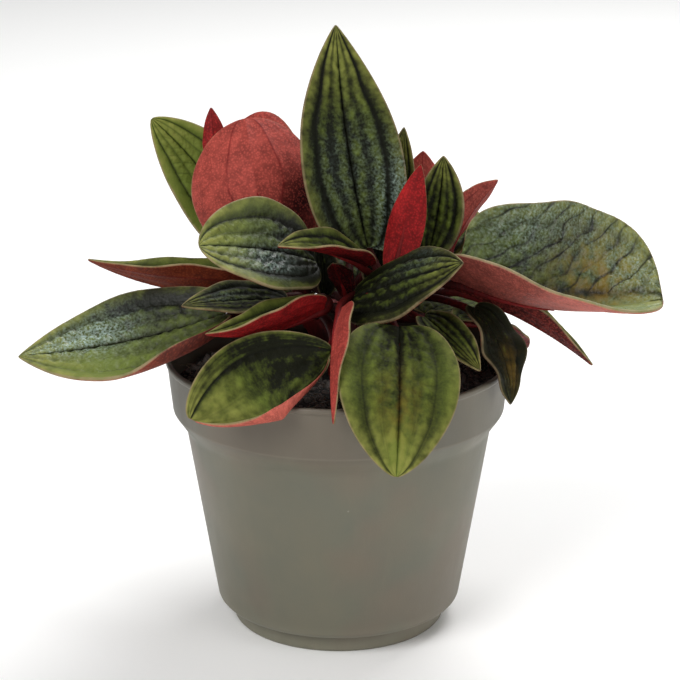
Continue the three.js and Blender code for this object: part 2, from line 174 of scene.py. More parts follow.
def shape(
    base, tip, faces, width, crease=12, cup=10, arch=0.04, sweep=0, hook=0, twist=0, widest=0.4,
    point=0.95, lobe=0.08, wave=0.5, joint=0.06, roll=(0, 0, 0.5, 1, 0.8),
):
    """How a blade lies, in millimetres and degrees. base and tip are the ends of its midrib and faces is
    the way that its upper side looks. width is across it, crease how steeply each half rises and cup how it
    curls on: a pair is for the left half and the right. arch, sweep, hook and twist bend the midrib.
    widest, point and lobe shape the outline, wave moves the edge, and joint is where the stalk meets the
    midrib. roll turns the left and the right edge up by angles, most at a share of the way along, less with
    a distance from there, and from a share of the half's width outwards."""
    return dict(locals())


BLADES = {
    "tall": shape(
        (10, 4, 134), (-1, 13, 210), (0.2, -1, 0.1), 37, 14, 8, 0.03, sweep=0.03, widest=0.37, point=0.95,
    ),
    "behind_tall": shape((17, 20, 130), (23, 28, 171), (0.1, -1, 0.2), 14, 14, 20),
    "back_left": shape(
        (-30, 29, 123), (-67, 46, 170), (0.3, -1, 0.2), 31, 10, 16, -0.03, sweep=-0.06, point=0.75,
    ),
    "bud_front": shape(
        (-24.5, 5, 129), (-32.5, 24, 175), (-0.1, 1, 0.2), 56, 6, 54, -0.14, hook=-0.12, widest=0.5,
        point=0.45,
    ),
    "bud_back": shape(
        (-14, 19, 128), (-30, 41.5, 173), (0.1, 1, 0.2), (30, 44), 8, 44, -0.09, hook=-0.1, widest=0.52,
        point=0.42,
    ),
    "bud_side": shape((-43, 35, 153), (-45.5, 44, 174.5), (0.1, 1, -0.2), 9.5, 22, 10, -0.03),
    "upright_green": shape((31, 4, 132), (36, 6, 166), (0, -1, 0), 20, 14, 30, -0.02, sweep=-0.03),
    "upright_red": shape((19, -6, 128), (28, -2, 165), (0.25, 1, 0.1), 14, 22, 14, -0.02, widest=0.36),
    "upright_pink": shape((28, 19, 130), (30, 34, 161), (0, 1, 0.2), 23, 12, 20),
    "back_salmon": shape((38, 22, 126), (57, 40, 149), (-0.5, 0.8, 0.5), 20, 16, 20),
    "right_broad": shape(
        (38, -10, 127), (109.5, -24, 123), (0, 0.1, 1), (76, 52), (63, 40), (24, 14), -0.095, twist=22,
        widest=0.52, point=0.28,
    ),
    "mid_left": shape(
        (-8, -5, 131), (-46, -34, 145), (-0.1, -0.7, 0.72), 37, (10, 16), (4, 22), 0.05, widest=0.47,
        point=0.62, lobe=0,
    ),
    "small_centre": shape((9, -11, 132), (-20, -34, 145), (0.2, -0.1, 1), 20, 34, 14),
    "long_upper": shape(
        (-25, -4, 120), (-86, -4, 132), (0, 0.25, 1), (28, 30), (42, 53), 12, -0.05, hook=-0.05,
    ),
    "long_lower": shape(
        (-38, -23, 118), (-107, -35, 107), (-0.1, -0.55, 0.8), (55, 37), (21, 8), (12, 4), -0.06,
        roll=(150, 0, 0.02, 0.42, 0.66),
    ),
    "centre_right": shape((5, -18, 122), (41, -40, 141), (-0.25, -0.55, 0.8), 34, (-16, 0), (-10, 6), 0.01),
    "small_left": shape((-18, -11, 119), (-52, -36, 125), (0, -0.5, 0.85), 17, 14, 10, 0.02),
    "front_folded": shape(
        (-5, -27, 121.8), (-43.5, -50, 119.8), (0.1, 0.2, 1), (25, 22), (55, 50), 10, -0.085,
    ),
    "right_narrow": shape((37, 3, 120), (88, -8, 95), (0.2, 0.2, 1), 23, 46, 8, 0.05),
    "front_edge": shape((1.5, -29, 122), (-1.5, -68, 95), (1, 0.3, 0.2), 17, 36, 10, -0.04, sweep=-0.12),
    "front_left": shape(
        (-2.5, -46, 112.9), (-48, -65.3, 95.8), (-0.19, -0.84, 0.3), (67, 13), (-8, -10), (49, 10), -0.04,
        sweep=-0.2, widest=0.52, point=0.5, lobe=0.02, roll=(215, 0, 0.2, 0.8, 0.72),
    ),
    "front_right": shape(
        (20, -38.5, 118.5), (18.5, -76.5, 80), (0.1, -0.7, 0.7), (39, 41), 8, -8, 0.1, lobe=0.03, widest=0.4,
        point=0.7, joint=0.15,
    ),
    "small_right": shape((29, -20, 116), (47, -41, 104), (0.2, -0.6, 0.75), 15, 16),
    "right_hanging": shape((46, -17, 118.5), (58, -32, 89), (0.75, -0.6, 0.3), 22, 10, arch=0.1, wave=1.4),
    "heart_left": shape((-5, 5, 117), (-7, 11, 137), (0.3, -0.6, 0.4), 11, 30, 20),
    "heart_right": shape((13, 8, 118), (15, 16, 138), (-0.2, -0.7, 0.3), 12, 30, 20),
    "heart_front": shape((3, -4, 118), (-2, -16, 134), (0, 0.6, 0.5), 10, 30, 20),
    "behind_high": shape((4, 23, 126), (8, 62, 149), (0, -0.4, 0.9), 31, 18, 14),
    "behind_high_left": shape((-12, 32, 115), (-36, 66, 134), (0.1, -0.3, 0.95), 28, 16, 16),
    "behind_high_right": shape((30, 27, 116), (50, 64, 132), (-0.1, -0.2, 0.95), 28, 20, 10),
    "behind": shape((6, 32, 108), (10, 76, 124), (0, -0.5, 0.85), 38, 12, 6, 0.06, lobe=0.12),
    "behind_left": shape((-20, 30, 108), (-52, 68, 100), (-0.2, 0.1, 0.95), 36, 12, 12, 0.06),
    "behind_right": shape((31, 26.5, 103), (60, 68, 93.2), (0.18, 0.05, 0.95), 32, 9, 8, 0.048),
    "behind_low_right": shape((43, 6.5, 106.5), (68, 27, 90), (0.3, 0.2, 0.9), 24, 10, 10, 0.05),
    "far_left": shape((-34, 14, 112), (-80, 32, 98), (-0.2, 0, 1), 30, 18, 8, 0.05),
    "far_right": shape((46, 18, 116), (92, 42, 114), (0.1, -0.1, 1), 32, 22, 12, 0.04),
    "drooping_middle": shape((3, 42, 107.5), (2, 84, 86.5), (0, 0.4, 0.9), 27, 10, arch=0.1, lobe=0.12),
    "drooping_left": shape((-14, 42, 105), (-30, 80, 82), (-0.3, 0.6, 0.7), 32, 8, -6, 0.1, lobe=0.14),
    "drooping_right": shape((19, 42, 102.5), (30, 82, 80), (0.2, 0.6, 0.7), 32, 10, -6, 0.1, lobe=0.14),
}

# How a blade is coloured. shade lightens the green, blush lightens the red below, salmon turns that from
# crimson (0) to coral (1) and brick (2), and gloss makes the upper side smooth. A low shade is partly painted
# shade, for blades in the shadow of others. tint, the sheen patches and rust are patches, each as (strength,
# how far along, how far across): tint lightens or darkens both sides, partly as painted light and painted
# shade, partly as the blade's own tone; the sheen patches are a painted sheen with painted glints. veins are
# the strengths of the long veins from the midrib outwards, and axis moves their middle to the left. edge is
# how much of the pale line shows on the lower side, where it is wider too. cross is how strong the cross
# veins are and how far apart, in millimetres.
BLADE_LOOK = {
    "shade": 0, "blush": 0.35, "salmon": 0.2, "gloss": 0.4, "tint": (), "silver": (), "rust": (),
    "veins": (1.0, 0.5, 0.85), "axis": 0, "edge": 0, "cross": (0.3, 4.6),
}

LOOKS = {
    "tall": dict(
        shade=-0.16, gloss=0.5, cross=(0.2, 6), tint=[(0.25, 0.85, 0), (-0.15, 0.5, 0.2)],
        silver=[(0.8, 0.14, -0.9), (0.14, 0.3, 0.4), (0.1, 0.4, -0.3)],
    ),
    "back_left": dict(shade=0.7, gloss=0.3, tint=[(-0.3, 0.15, 0)]),
    "bud_front": dict(
        blush=0.8, salmon=0.65, veins=(0.1, 1.0, 0.0), cross=(0, 5), edge=0.9,
        tint=[(-0.55, 0.42, 0.7), (-0.5, 0.1, 0.4)],
    ),
    "bud_back": dict(
        blush=0.72, salmon=0.6, veins=(0.2, 0.5, 0.5), cross=(0, 5), edge=0.6, tint=[(-0.5, 0.4, 0)],
    ),
    "bud_side": dict(blush=0.6, salmon=0.1),
    "upright_green": dict(shade=-0.16),
    "upright_red": dict(
        blush=0.6, salmon=0.0, veins=(0.4, 0.3, 0.3), cross=(0, 5), tint=[(0.4, 0.7, -0.8)],
    ),
    "upright_pink": dict(blush=0.8, salmon=0.7),
    "back_salmon": dict(blush=0.8, salmon=0.8),
    "right_broad": dict(
        shade=0.14, blush=0.66, salmon=1.0, gloss=0.85, veins=(1.0, 0.0, 0.2), axis=0.17,
        cross=(1.0, 8.5), rust=[(0.8, 0.7, 0.28)],
        silver=[(0.4, 0.25, 0.85), (0.3, 0.62, 0.9), (0.55, 0.92, 0.4), (0.6, 0.8, -0.7)],
        tint=[(1.4, 0.82, -0.75), (-0.3, 0.3, 0.3), (-0.2, 0.55, 0.6)],
    ),
    "mid_left": dict(
        shade=0.14, gloss=0.9, silver=[(0.5, 0.52, 0.35), (0.15, 0.35, -0.3)],
        tint=[(0.4, 0.88, -0.2), (-0.9, 0.1, -0.5), (-0.9, 0.12, 0.6), (-0.75, 0.4, 0.35)],
    ),
    "small_centre": dict(shade=-0.1, blush=0.35, salmon=0, gloss=0.4, tint=[(-0.5, 0.1, 0)]),
    "long_upper": dict(shade=0.15, blush=0.66, salmon=1.9, tint=[(-0.3, 0.1, 0)]),
    "long_lower": dict(
        shade=0.04, gloss=0.85, blush=0.5, salmon=1.7, veins=(0.9, 0.3, 0.5), cross=(0.2, 7),
        silver=[(1.1, 0.7, -0.28)], tint=[(1.2, 0.68, 0.7), (-0.5, 0.3, -0.7), (0.3, 0.9, -0.3)],
    ),
    "centre_right": dict(shade=-0.38, gloss=0.4, tint=[(0.3, 0.7, 0.0)], silver=[(0.15, 0.6, 0.5)]),
    "small_left": dict(shade=-0.3, gloss=0.4, silver=[(0.2, 0.6, -0.3)]),
    "front_folded": dict(
        shade=0.1, blush=0.55, salmon=0.0, cross=(0, 5), tint=[(0.3, 0.95, 0), (0.3, 0.05, 0.5)],
    ),
    "right_narrow": dict(blush=0.3, salmon=0.6, cross=(0, 5)),
    "front_edge": dict(
        blush=0.75, salmon=0.55, cross=(0, 5), veins=(0.3, 0.3, 0.3),
        tint=[(0.3, 0.1, 0), (-0.4, 0.6, 0.5)],
    ),
    "front_left": dict(
        shade=-0.1, gloss=0.2, blush=1.0, salmon=1.0, veins=(0.6, 0.3, 0.2), cross=(0.06, 7),
        tint=[(-0.5, 0.35, -0.3), (-0.3, 0.2, 0.2), (0.3, 0.85, 0.3), (0.2, 0.6, 0.75)],
    ),
    "front_right": dict(
        shade=-0.03, gloss=0.2, rust=[(0.35, 0.6, 0.0)], veins=(0.45, 0.25, 0.6), cross=(0.12, 6),
        tint=[(-0.5, 0.05, 0), (1.5, 1.0, 0), (0.25, 0.45, 0.85), (0.2, 0.45, -0.85)],
    ),
    "small_right": dict(shade=-0.15, blush=0.1),
    "right_hanging": dict(shade=-0.6, blush=0.1, gloss=0.05, rust=[(0.4, 0.7, 0.3)]),
    # The heart's blades are darkened as painted shade, for the deep shadow at the plant's heart.
    "heart_left": dict(shade=-0.5, blush=0.05, gloss=0.1),
    "heart_right": dict(shade=-0.5, blush=0.05, gloss=0.1),
    "heart_front": dict(shade=-0.5, blush=0.1, gloss=0.1),
}


# ------------------------------------------------------------------ settings


def linear(*parts):
    """A colour given as sRGB parts of 255, as the linear values that Blender keeps."""
    parts = [part / 255 for part in parts]
    curve = [p / 12.92 if p <= 0.04045 else ((p + 0.055) / 1.055) ** 2.4 for p in parts]
    return (*curve, 1.0)


def paint(name, description, *parts):
    """A colour property with its default in sRGB parts of 255."""
    return FloatVectorProperty(
        name=name, description=description, subtype="COLOR", size=4, min=0, max=1, default=linear(*parts)
    )


def number(name, description, default, **more):
    """A property that is never below nothing."""
    return FloatProperty(name=name, description=description, default=default, min=0, **more)


def length(name, description, millimetres):
    """A length property with its default in millimetres."""
    return number(name, description, millimetres * MM, unit="LENGTH", precision=5)


class BladeSettings(bpy.types.PropertyGroup):
    band_rise: number("Band rise", "Height of a band between two long veins, against its width", 0.2, max=0.4)
    pucker: length("Pucker", "Depth of the furrows over the cross veins", 0.4)
    quilt: length("Quilting", "Between two of the fine ribs across a band", 1.9)
    pebble: length("Pebbling", "Across one of the small bumps of the upper skin", 1.5)
    rim: length("Pale rim", "Width of the pale line along the edge", 0.16)
    satin: number("Satin", "How much light most blades reflect", 0.11, max=1)
    glossy: number("Gloss", "How much light the glossy blades reflect", 0.3, max=1)
    # Deep green low in the bands and light green on the crests: partly the leaf's own tone, partly painted
    # shade in the furrows and painted light on the crests.
    deep_green: paint("Deep green", "Upper side, low in the bands", 16, 18, 5)
    light_green: paint("Light green", "Upper side, on the crests", 94, 107, 40)
    olive: paint("Olive", "Upper side, by the edge and the tip", 140, 139, 70)
    vein_green: paint("Vein green", "Upper side, in the long veins", 8, 9, 4)
    # A painted sheen: the pale colour of the painted highlights and glints on the upper side.
    silver: paint("Silver", "Upper side, where its skin shimmers", 150, 170, 162)
    rust: paint("Rust", "Upper side, where it browns", 116, 90, 26)
    wine: paint("Wine", "Underside, where it is darkest", 40, 6, 7)
    crimson: paint("Crimson", "Underside of the young blades", 179, 37, 38)
    coral: paint("Coral", "Underside where it is palest", 188, 95, 81)
    brick: paint("Brick", "Underside of the old blades", 134, 56, 24)
    vein_red: paint("Vein red", "Underside, in the long veins", 92, 12, 16)
    rim_colour: paint("Rim", "The pale line along the edge", 140, 122, 92)


class StalkSettings(bpy.types.PropertyGroup):
    sides: IntProperty(name="Sides", description="Corners round a stalk", default=16, min=6, max=32)
    red: paint("Red", "Stalks, by the blade", 119, 26, 26)
    # Darker by the crown: painted shade, for the shadow under the blades.
    pale: paint("Pale", "Stalks, by the crown", 48, 11, 10)
    freckle: paint("Freckles", "Small spots on the stalks", 88, 22, 22)


class SoilSettings(bpy.types.PropertyGroup):
    crumbs: number("Crumbs", "Crumbs on each square metre", 420000)
    crumb_size: length("Crumb size", "Radius of the largest crumbs", 1.5)
    fibres: number("Fibres", "Fibres on each square metre", 24000)
    fibre_length: length("Fibre length", "Length of the longest fibres", 16)
    seed: IntProperty(name="Seed", description="Of the places of crumbs and fibres", default=4)
    dark: paint("Dark", "Damp soil", 16, 13, 11)
    brown: paint("Brown", "Drier crumbs", 60, 44, 33)
    straw: paint("Straw", "Fibres", 163, 148, 124)
    damp_straw: paint("Damp straw", "Fibres, where they are damp", 64, 48, 37)
    streak: paint("Streak", "Streaks on the fibres", 88, 71, 55)


class PotSettings(bpy.types.PropertyGroup):
    segments: IntProperty(name="Segments", description="Steps round the pot", default=160, min=24)
    plastic: paint("Plastic", "The pot's body colour", 103, 99, 83)
    cool: paint("Cool cast", "Where the plastic is a little greener", 92, 94, 82)
    warm: paint("Warm cast", "Where the plastic is a little browner", 110, 94, 80)
    collar: paint("Collar", "The collar, in the shade of the leaves", 84, 77, 68)
    # Also the colour of the painted highlight along the collar's lower edge.
    scuff: paint("Scuff", "Rubbed and dusty places", 123, 116, 100)
    speck: paint("Specks", "Small pale marks", 174, 170, 159)
    # Painted light: the foot is made paler, lifting the shade that falls on it.
    dust: paint("Dust", "Dried soil round the foot", 130, 127, 110)


class StudioSettings(bpy.types.PropertyGroup):
    key: number("Key light", "Power of the key light", 24, unit="POWER")
    top: number("Top light", "Power of the top light", 20, unit="POWER")
    fill: number("Fill light", "Power of the fill", 9, unit="POWER")
    sky: number("Sky", "Strength of the even light", 0.26)
    floor: paint("Floor", "The pale floor", 250, 250, 249)


# ------------------------------------------------------------------ nodes


class Nodes:
    """A node tree, with a short call for each kind of node. All but add and split give one socket."""

    def __init__(self, tree):
        self.tree = tree

    def add(self, kind, inputs=None, **settings):
        """Adds a node, sets its properties, and gives each named or numbered input a value or a link."""
        node = self.tree.nodes.new(kind)
        for name, value in settings.items():
            setattr(node, name, value)
        for key, value in (inputs or {}).items():
            if isinstance(value, bpy.types.NodeSocket):
                self.tree.links.new(value, node.inputs[key])
            else:
                node.inputs[key].default_value = value
        return node

    def one(self, kind, inputs=None, **settings):
        """The first output of a new node."""
        return self.add(kind, inputs, **settings).outputs[0]

    def split(self, attribute):
        """The three values of a vector attribute."""
        vector = self.add("ShaderNodeAttribute", attribute_name=attribute).outputs["Vector"]
        return self.add("ShaderNodeSeparateXYZ", {0: vector}).outputs

    def here(self):
        """The place on the object, in metres."""
        return self.add("ShaderNodeTexCoord").outputs["Object"]

    def maths(self, operation, first, *others, clamp=False):
        """The operation on its values, from left to right."""
        for other in others or (0.0,):
            values = {0: first, 1: other}
            first = self.one("ShaderNodeMath", values, operation=operation, use_clamp=clamp)
        return first

    def times(self, *values, clamp=False):
        return self.maths("MULTIPLY", *values, clamp=clamp)

    def plus(self, *values, clamp=False):
        return self.maths("ADD", *values, clamp=clamp)

    def off_zero(self, value):
        return self.maths("ABSOLUTE", value)

    def waves(self, turns):
        """From 0 at each multiple of pi to 1 between them."""
        return self.off_zero(self.maths("SINE", turns))

    def remap(self, value, low, high, to_low=0.0, to_high=1.0):
        """The value with low..high moved to to_low..to_high, and held inside it."""
        inputs = {0: value, 1: low, 2: high, 3: to_low, 4: to_high}
        return self.one("ShaderNodeMapRange", inputs, clamp=True)

    def scaled(self, vector, factor):
        return self.one("ShaderNodeVectorMath", {0: vector, "Scale": factor}, operation="SCALE")

    def noise(self, place, size, detail=3.0, roughness=0.55, stretch=(1, 1, 1)):
        """Noise whose lumps are about size across, from 0 to 1."""
        mapped = self.one("ShaderNodeMapping", {0: place, 3: [part / size for part in stretch]})
        inputs = {"Vector": mapped, "Scale": 1.0, "Detail": detail, "Roughness": roughness}
        return self.one("ShaderNodeTexNoise", inputs)

    def cells(self, place, size, feature="F1"):
        """The distance to the nearest of scattered points about size apart."""
        mapped = self.one("ShaderNodeMapping", {0: place, 3: [1 / size] * 3})
        return self.one("ShaderNodeTexVoronoi", {"Vector": mapped, "Scale": 1.0}, feature=feature)

    def layers(self, colour, *coats):
        """A colour with others laid over it in turn, each as (share, colour)."""
        for share, coat in coats:
            mix = self.add("ShaderNodeMix", {0: share, 6: colour, 7: coat}, data_type="RGBA")
            colour = mix.outputs[2]
        return colour


def new_material(name):
    """An empty material and its nodes."""
    material = bpy.data.materials.new(name)
    material.use_nodes = True
    material.node_tree.nodes.clear()
    return material, Nodes(material.node_tree)


def finish(material, n, colour, roughness, bumps, depth, reflects=0.5):
    """Ends a material. Its bumps are a height of 0 to 1 that stands for depth metres."""
    normal = n.one("ShaderNodeBump", {"Height": bumps, "Distance": depth, "Strength": 1.0})
    inputs = {"Base Color": colour, "Roughness": roughness, "Specular IOR Level": reflects, "Normal": normal}
    n.add("ShaderNodeOutputMaterial", {0: n.one("ShaderNodeBsdfPrincipled", inputs)})
    return material


def new_tree(name, **inputs):
    """The nodes of an empty geometry tree, and its named inputs."""
    tree = bpy.data.node_groups.new(name, "GeometryNodeTree")
    for label, kind in {**inputs, "Material": "Material"}.items():
        tree.interface.new_socket(label, in_out="INPUT", socket_type="NodeSocket" + kind)
    tree.interface.new_socket("Mesh", in_out="OUTPUT", socket_type="NodeSocketGeometry")
    n = Nodes(tree)
    return n, n.add("NodeGroupInput").outputs


def end_tree(n, given, geometry):
    """Ends a geometry tree with real, painted faces."""
    whole = n.one("GeometryNodeRealizeInstances", {0: geometry})
    painted = n.one("GeometryNodeSetMaterial", {0: whole, "Material": given["Material"]})
    n.add("NodeGroupOutput", {0: painted})
    return n.tree


# ------------------------------------------------------------------ materials


def blade_material(settings, name, reflects):
    """Green above and red below, with sunk dark veins, quilted bands and a pale rim. A painted sheen with
    painted glints, and painted light and shade, are laid into the colour.
    """
    material, n = new_material(name)
    upper, along, across = n.split("place")
    relief, vein, rim = n.split("form")
    # shade and blush carry painted light and shade from each blade's shade and its tint patches.
    shade, blush, salmon = n.split("tone")
    # skin holds the painted sheen's patches, the rust and the gloss.
    silver, rust, gloss = n.split("skin")
    inner, turn, cross = n.split("cross")
    flat = n.one("ShaderNodeUVMap", uv_map="blade")
    sideways, ahead, _ = n.add("ShaderNodeSeparateXYZ", {0: flat}).outputs

    mottle = n.noise(flat, 5 * MM, detail=2.5)
    grain = n.noise(flat, 0.9 * MM, detail=2)
    pores = n.cells(flat, 0.8 * MM)
    pebbles = n.remap(n.cells(flat, settings.pebble, "SMOOTH_F1"), 0.1, 0.55, 1.0, 0.0)

    line = n.times(n.remap(n.waves(n.times(turn, math.pi)), 0.05, 0.32, 1.0, 0.0), cross)
    vein = n.maths("MAXIMUM", vein, n.times(line, 0.9))

    # Fine slanting ribs and pebbles quilt the bands.
    slope = n.times(n.off_zero(sideways), CROSS_SLANT)
    turns = n.times(n.maths("SUBTRACT", ahead, slope), math.pi / settings.quilt)
    stray = n.times(n.noise(flat, 2.4 * MM), 2.6 * math.pi)
    uneven = n.remap(n.noise(flat, 9 * MM), 0.4, 0.65, 0.05, 0.5)
    ribs = n.times(n.waves(n.plus(turns, stray)), uneven)
    quilt = n.times(n.plus(ribs, pebbles), n.times(inner, 0.6))

    # The crests are lighter and the furrows, ribs and crevices darker: partly the leaf's own tone, partly
    # painted light and shade.
    light = n.times(relief, n.remap(mottle, 0.3, 0.7, 0.25, 0.8))
    light = n.plus(light, n.times(quilt, relief, 0.28), n.remap(grain, 0.35, 0.7, -0.09, 0.09))
    light = n.plus(light, shade, clamp=True)

    margin = n.remap(n.off_zero(across), 0.75, 1.0, 0.0, 0.4)
    olive = n.plus(margin, n.remap(along, 0.6, 1.0, 0.0, 0.85), clamp=True)
    # The olive fades where a blade is painted in shade.
    olive = n.times(
        olive, n.remap(mottle, 0.3, 0.65, 0.2, 1.0), n.remap(relief, 0.2, 0.8),
        n.remap(shade, -0.5, 0.0, 0.1, 1.0),
    )
    brown = n.times(rust, n.remap(mottle, 0.35, 0.6))
    # Painted glints and a painted sheen: pale flecks and patches laid into the colour where highlights fall.
    glints = n.times(n.remap(grain, 0.4, 0.62, 0.1, 1.4), n.remap(pebbles, 0.2, 0.9, 0.5, 1.0))
    unbrowned = n.maths("SUBTRACT", 1.0, brown, clamp=True)
    shimmer = n.times(n.times(silver, glints), n.remap(relief, 0.1, 0.6), unbrowned)
    green = n.layers(
        settings.deep_green, (light, settings.light_green), (olive, settings.olive),
        (brown, settings.rust), (shimmer, settings.silver), (n.times(vein, 0.9), settings.vein_green),
    )

    skin = n.layers(
        settings.crimson, (salmon, settings.coral), (n.remap(salmon, 1.0, 2.0), settings.brick)
    )
    depth = n.times(blush, n.remap(mottle, 0.3, 0.7, 0.72, 1.15))
    depth = n.plus(depth, n.remap(pores, 0.1, 0.6, 0.2, -0.2))
    depth = n.times(depth, n.remap(along, 0.0, 0.45, 0.7, 1.0), clamp=True)
    red = n.layers(settings.wine, (depth, skin), (n.times(vein, 0.75), settings.vein_red))

    # The pale rim is dimmed where a blade is painted in shade.
    edge = n.times(rim, n.remap(mottle, 0.3, 0.6, 0.25, 0.8), n.remap(shade, -0.6, 0.0, 0.6, 1.0))
    colour = n.layers(red, (n.remap(upper, 0.3, 0.5), green), (edge, settings.rim_colour))

    fine = n.plus(n.times(grain, 0.35), n.times(pores, 0.15), n.times(n.times(quilt, upper), 0.7))
    wet = n.times(gloss, n.remap(silver, 0.0, 0.5, 0.3, 1.0))
    shine = n.maths("SUBTRACT", 0.66, n.times(wet, 0.42))
    shine = n.plus(shine, n.remap(grain, 0.3, 0.7, -0.08, 0.1))
    rough = n.one("ShaderNodeMix", {0: upper, 2: 0.62, 3: shine})
    return finish(material, n, colour, rough, fine, 0.4 * MM, reflects)


def stalk_material(settings):
    """Smooth red skin, darker by the crown as painted shade, with fine lengthwise streaks."""
    material, n = new_material("stalk")
    along = n.add("ShaderNodeAttribute", attribute_name="along").outputs["Fac"]
    place = n.here()
    streaks = n.noise(place, 3 * MM, stretch=(2.5, 2.5, 0.6))
    share = n.plus(n.remap(along, 0.45, 0.9), n.remap(streaks, 0.3, 0.7, -0.2, 0.2), clamp=True)
    freckles = n.remap(n.cells(place, 0.8 * MM), 0.12, 0.3, 0.35, 0.0)
    colour = n.layers(settings.pale, (share, settings.red), (freckles, settings.freckle))
    return finish(material, n, colour, 0.55, streaks, 0.12 * MM, 0.12)


def soil_material(settings):
    """Damp peat, near black, with drier brown crumbs."""
    material, n = new_material("soil")
    place = n.here()
    damp = n.noise(place, 9 * MM, detail=5)
    grain = n.noise(place, 1.6 * MM, detail=5, roughness=0.7)
    share = n.times(n.remap(damp, 0.4, 0.75), n.remap(grain, 0.4, 0.7))
    colour = n.layers(settings.dark, (share, settings.brown))
    return finish(material, n, colour, n.remap(damp, 0.3, 0.7, 0.7, 0.95), grain, 0.9 * MM)


def fibre_material(settings):
    """Dry pale root fibre, darker where it is damp."""
    material, n = new_material("fibre")
    place = n.here()
    dry = n.remap(n.noise(place, 12 * MM), 0.42, 0.62)
    streaks = n.noise(place, 0.7 * MM)
    colour = n.layers(
        settings.damp_straw, (dry, settings.straw), (n.remap(streaks, 0.3, 0.8, 0.0, 0.5), settings.streak)
    )
    return finish(material, n, colour, 0.8, streaks, 0.1 * MM)


def pot_material(settings):
    """Satin moulded plastic with a fine grain and a few scuffs, a painted highlight along the collar's lower
    edge, painted shade on the collar and painted light on the foot.
    """
    material, n = new_material("pot")
    place = n.here()
    height = n.add("ShaderNodeSeparateXYZ", {0: place}).outputs[2]
    cloud = n.noise(place, 34 * MM, detail=4)
    tint = n.noise(place, 46 * MM, detail=2)
    grain = n.noise(place, 0.5 * MM, detail=2)
    streak = n.noise(place, 9 * MM, detail=5, roughness=0.65, stretch=(1, 1, 0.18))
    rubbed = n.noise(place, 3 * MM, detail=6, roughness=0.75, stretch=(1, 1, 4))
    specks = n.remap(n.cells(place, 24 * MM), 0.016, 0.028, 1.0, 0.0)
    from_edge = n.off_zero(n.maths("SUBTRACT", height, COLLAR_EDGE * MM))
    # Painted light: the foot is paler towards the floor, with streaks, against the shade on it.
    low, high = (at * MM for at in FOOT_DUST)
    dust = n.times(n.remap(height, low, high, 0.5, 0.0), n.remap(streak, 0.35, 0.65, 0.6, 1.0))
    low, high = (at * MM for at in COLLAR_SHADE)
    colour = n.layers(
        settings.plastic,
        (n.remap(cloud, 0.35, 0.65, 0.0, 0.7), settings.cool),
        (n.remap(tint, 0.5, 0.62, 0.0, 0.4), settings.warm),
        (n.remap(streak, 0.55, 0.8, 0.0, 0.2), settings.scuff),
        (n.remap(rubbed, 0.66, 0.72, 0.0, 0.12), settings.scuff),
        (n.times(specks, 0.5), settings.speck),
        # A painted highlight: a pale line along the collar's lower edge.
        (n.remap(from_edge, 0.1 * MM, 0.6 * MM, 0.5, 0.0), settings.scuff),
        (dust, settings.dust),
        # Painted shade: the collar darkens, for the shadow of the leaves.
        (n.remap(height, low, high, 0.0, 0.4), settings.collar),
    )
    rough = n.remap(n.plus(cloud, streak), 0.7, 1.3, 0.42, 0.58)
    return finish(material, n, colour, rough, grain, 0.035 * MM, 0.45)


def floor_material(settings):
    """Plain pale paper, with the faintest tooth."""
    material, n = new_material("floor")
    return finish(material, n, settings.floor, 0.85, n.noise(n.here(), 2 * MM), 0.05 * MM)


# ------------------------------------------------------------------ meshes


def link(name, data):
    thing = bpy.data.objects.new(name, data)
    bpy.context.scene.collection.objects.link(thing)
    return thing


def new_mesh(name, points, faces):
    """A smooth mesh object from points in metres."""
    mesh = bpy.data.meshes.new(name)
    mesh.from_pydata(np.asarray(points).tolist(), [], faces)
    mesh.shade_smooth()
    return link(name, mesh)


def dress(piece, material, slot, *nodes):
    """Gives a finished piece its material and its place in the frame."""
    piece.data.materials.clear()
    piece.data.materials.append(material)
    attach(piece, BODY)
    if nodes:
        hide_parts(*nodes)


def frozen(source, name):
    """A plain mesh object of what the source's modifiers make. The source is removed."""
    graph = bpy.context.evaluated_depsgraph_get()
    mesh = bpy.data.meshes.new_from_object(source.evaluated_get(graph))
    bpy.data.objects.remove(source)
    mesh.name = name
    return link(name, mesh)


def run_tree(piece, tree, name, **inputs):
    """Runs a node tree on an object with its inputs set by name, and gives the plain mesh."""
    modifier = piece.modifiers.new(tree.name, "NODES")
    modifier.node_group = tree
    for item in tree.interface.items_tree:
        if item.item_type == "SOCKET" and item.in_out == "INPUT" and item.name in inputs:
            modifier[item.identifier] = inputs[item.name]
    return frozen(piece, name)


def store(mesh, name, values):
    """Keeps three values for each point of a mesh as a vector attribute."""
    attribute = mesh.attributes.new(name, "FLOAT_VECTOR", "POINT")
    attribute.data.foreach_set("vector", values.astype(np.float32).ravel())


def round_steps(count):
    """The directions round a circle, as columns of x and y."""
    angle = np.linspace(0, 2 * np.pi, count, endpoint=False)
    return np.cos(angle), np.sin(angle)


def tube_faces(rings, sides):
    """The faces between closed rings of points, with a pole at each end after them."""
    ring = [(j, (j + 1) % sides) for j in range(sides)]
    first, end = rings * sides, (rings - 1) * sides
    low = range(0, end, sides)
    faces = [(a + j, a + k, a + sides + k, a + sides + j) for a in low for j, k in ring]
    for j, k in ring:
        faces += [(first, k, j), (first + 1, end + j, end + k)]
    return faces


# ------------------------------------------------------------------ blades


def unit(vectors):
    return vectors / np.linalg.norm(vectors, axis=-1, keepdims=True)


def by_half(value, side):
    """A form value on each half: one for both, or a pair for the left (side 1) and the right (-1)."""
    left, right = value if isinstance(value, tuple) else (value, value)
    return np.where(side < 0, right, left)


def chord(form):
    """The way from a blade's base to its tip."""
    return np.array(form["tip"], float) - np.array(form["base"], float)


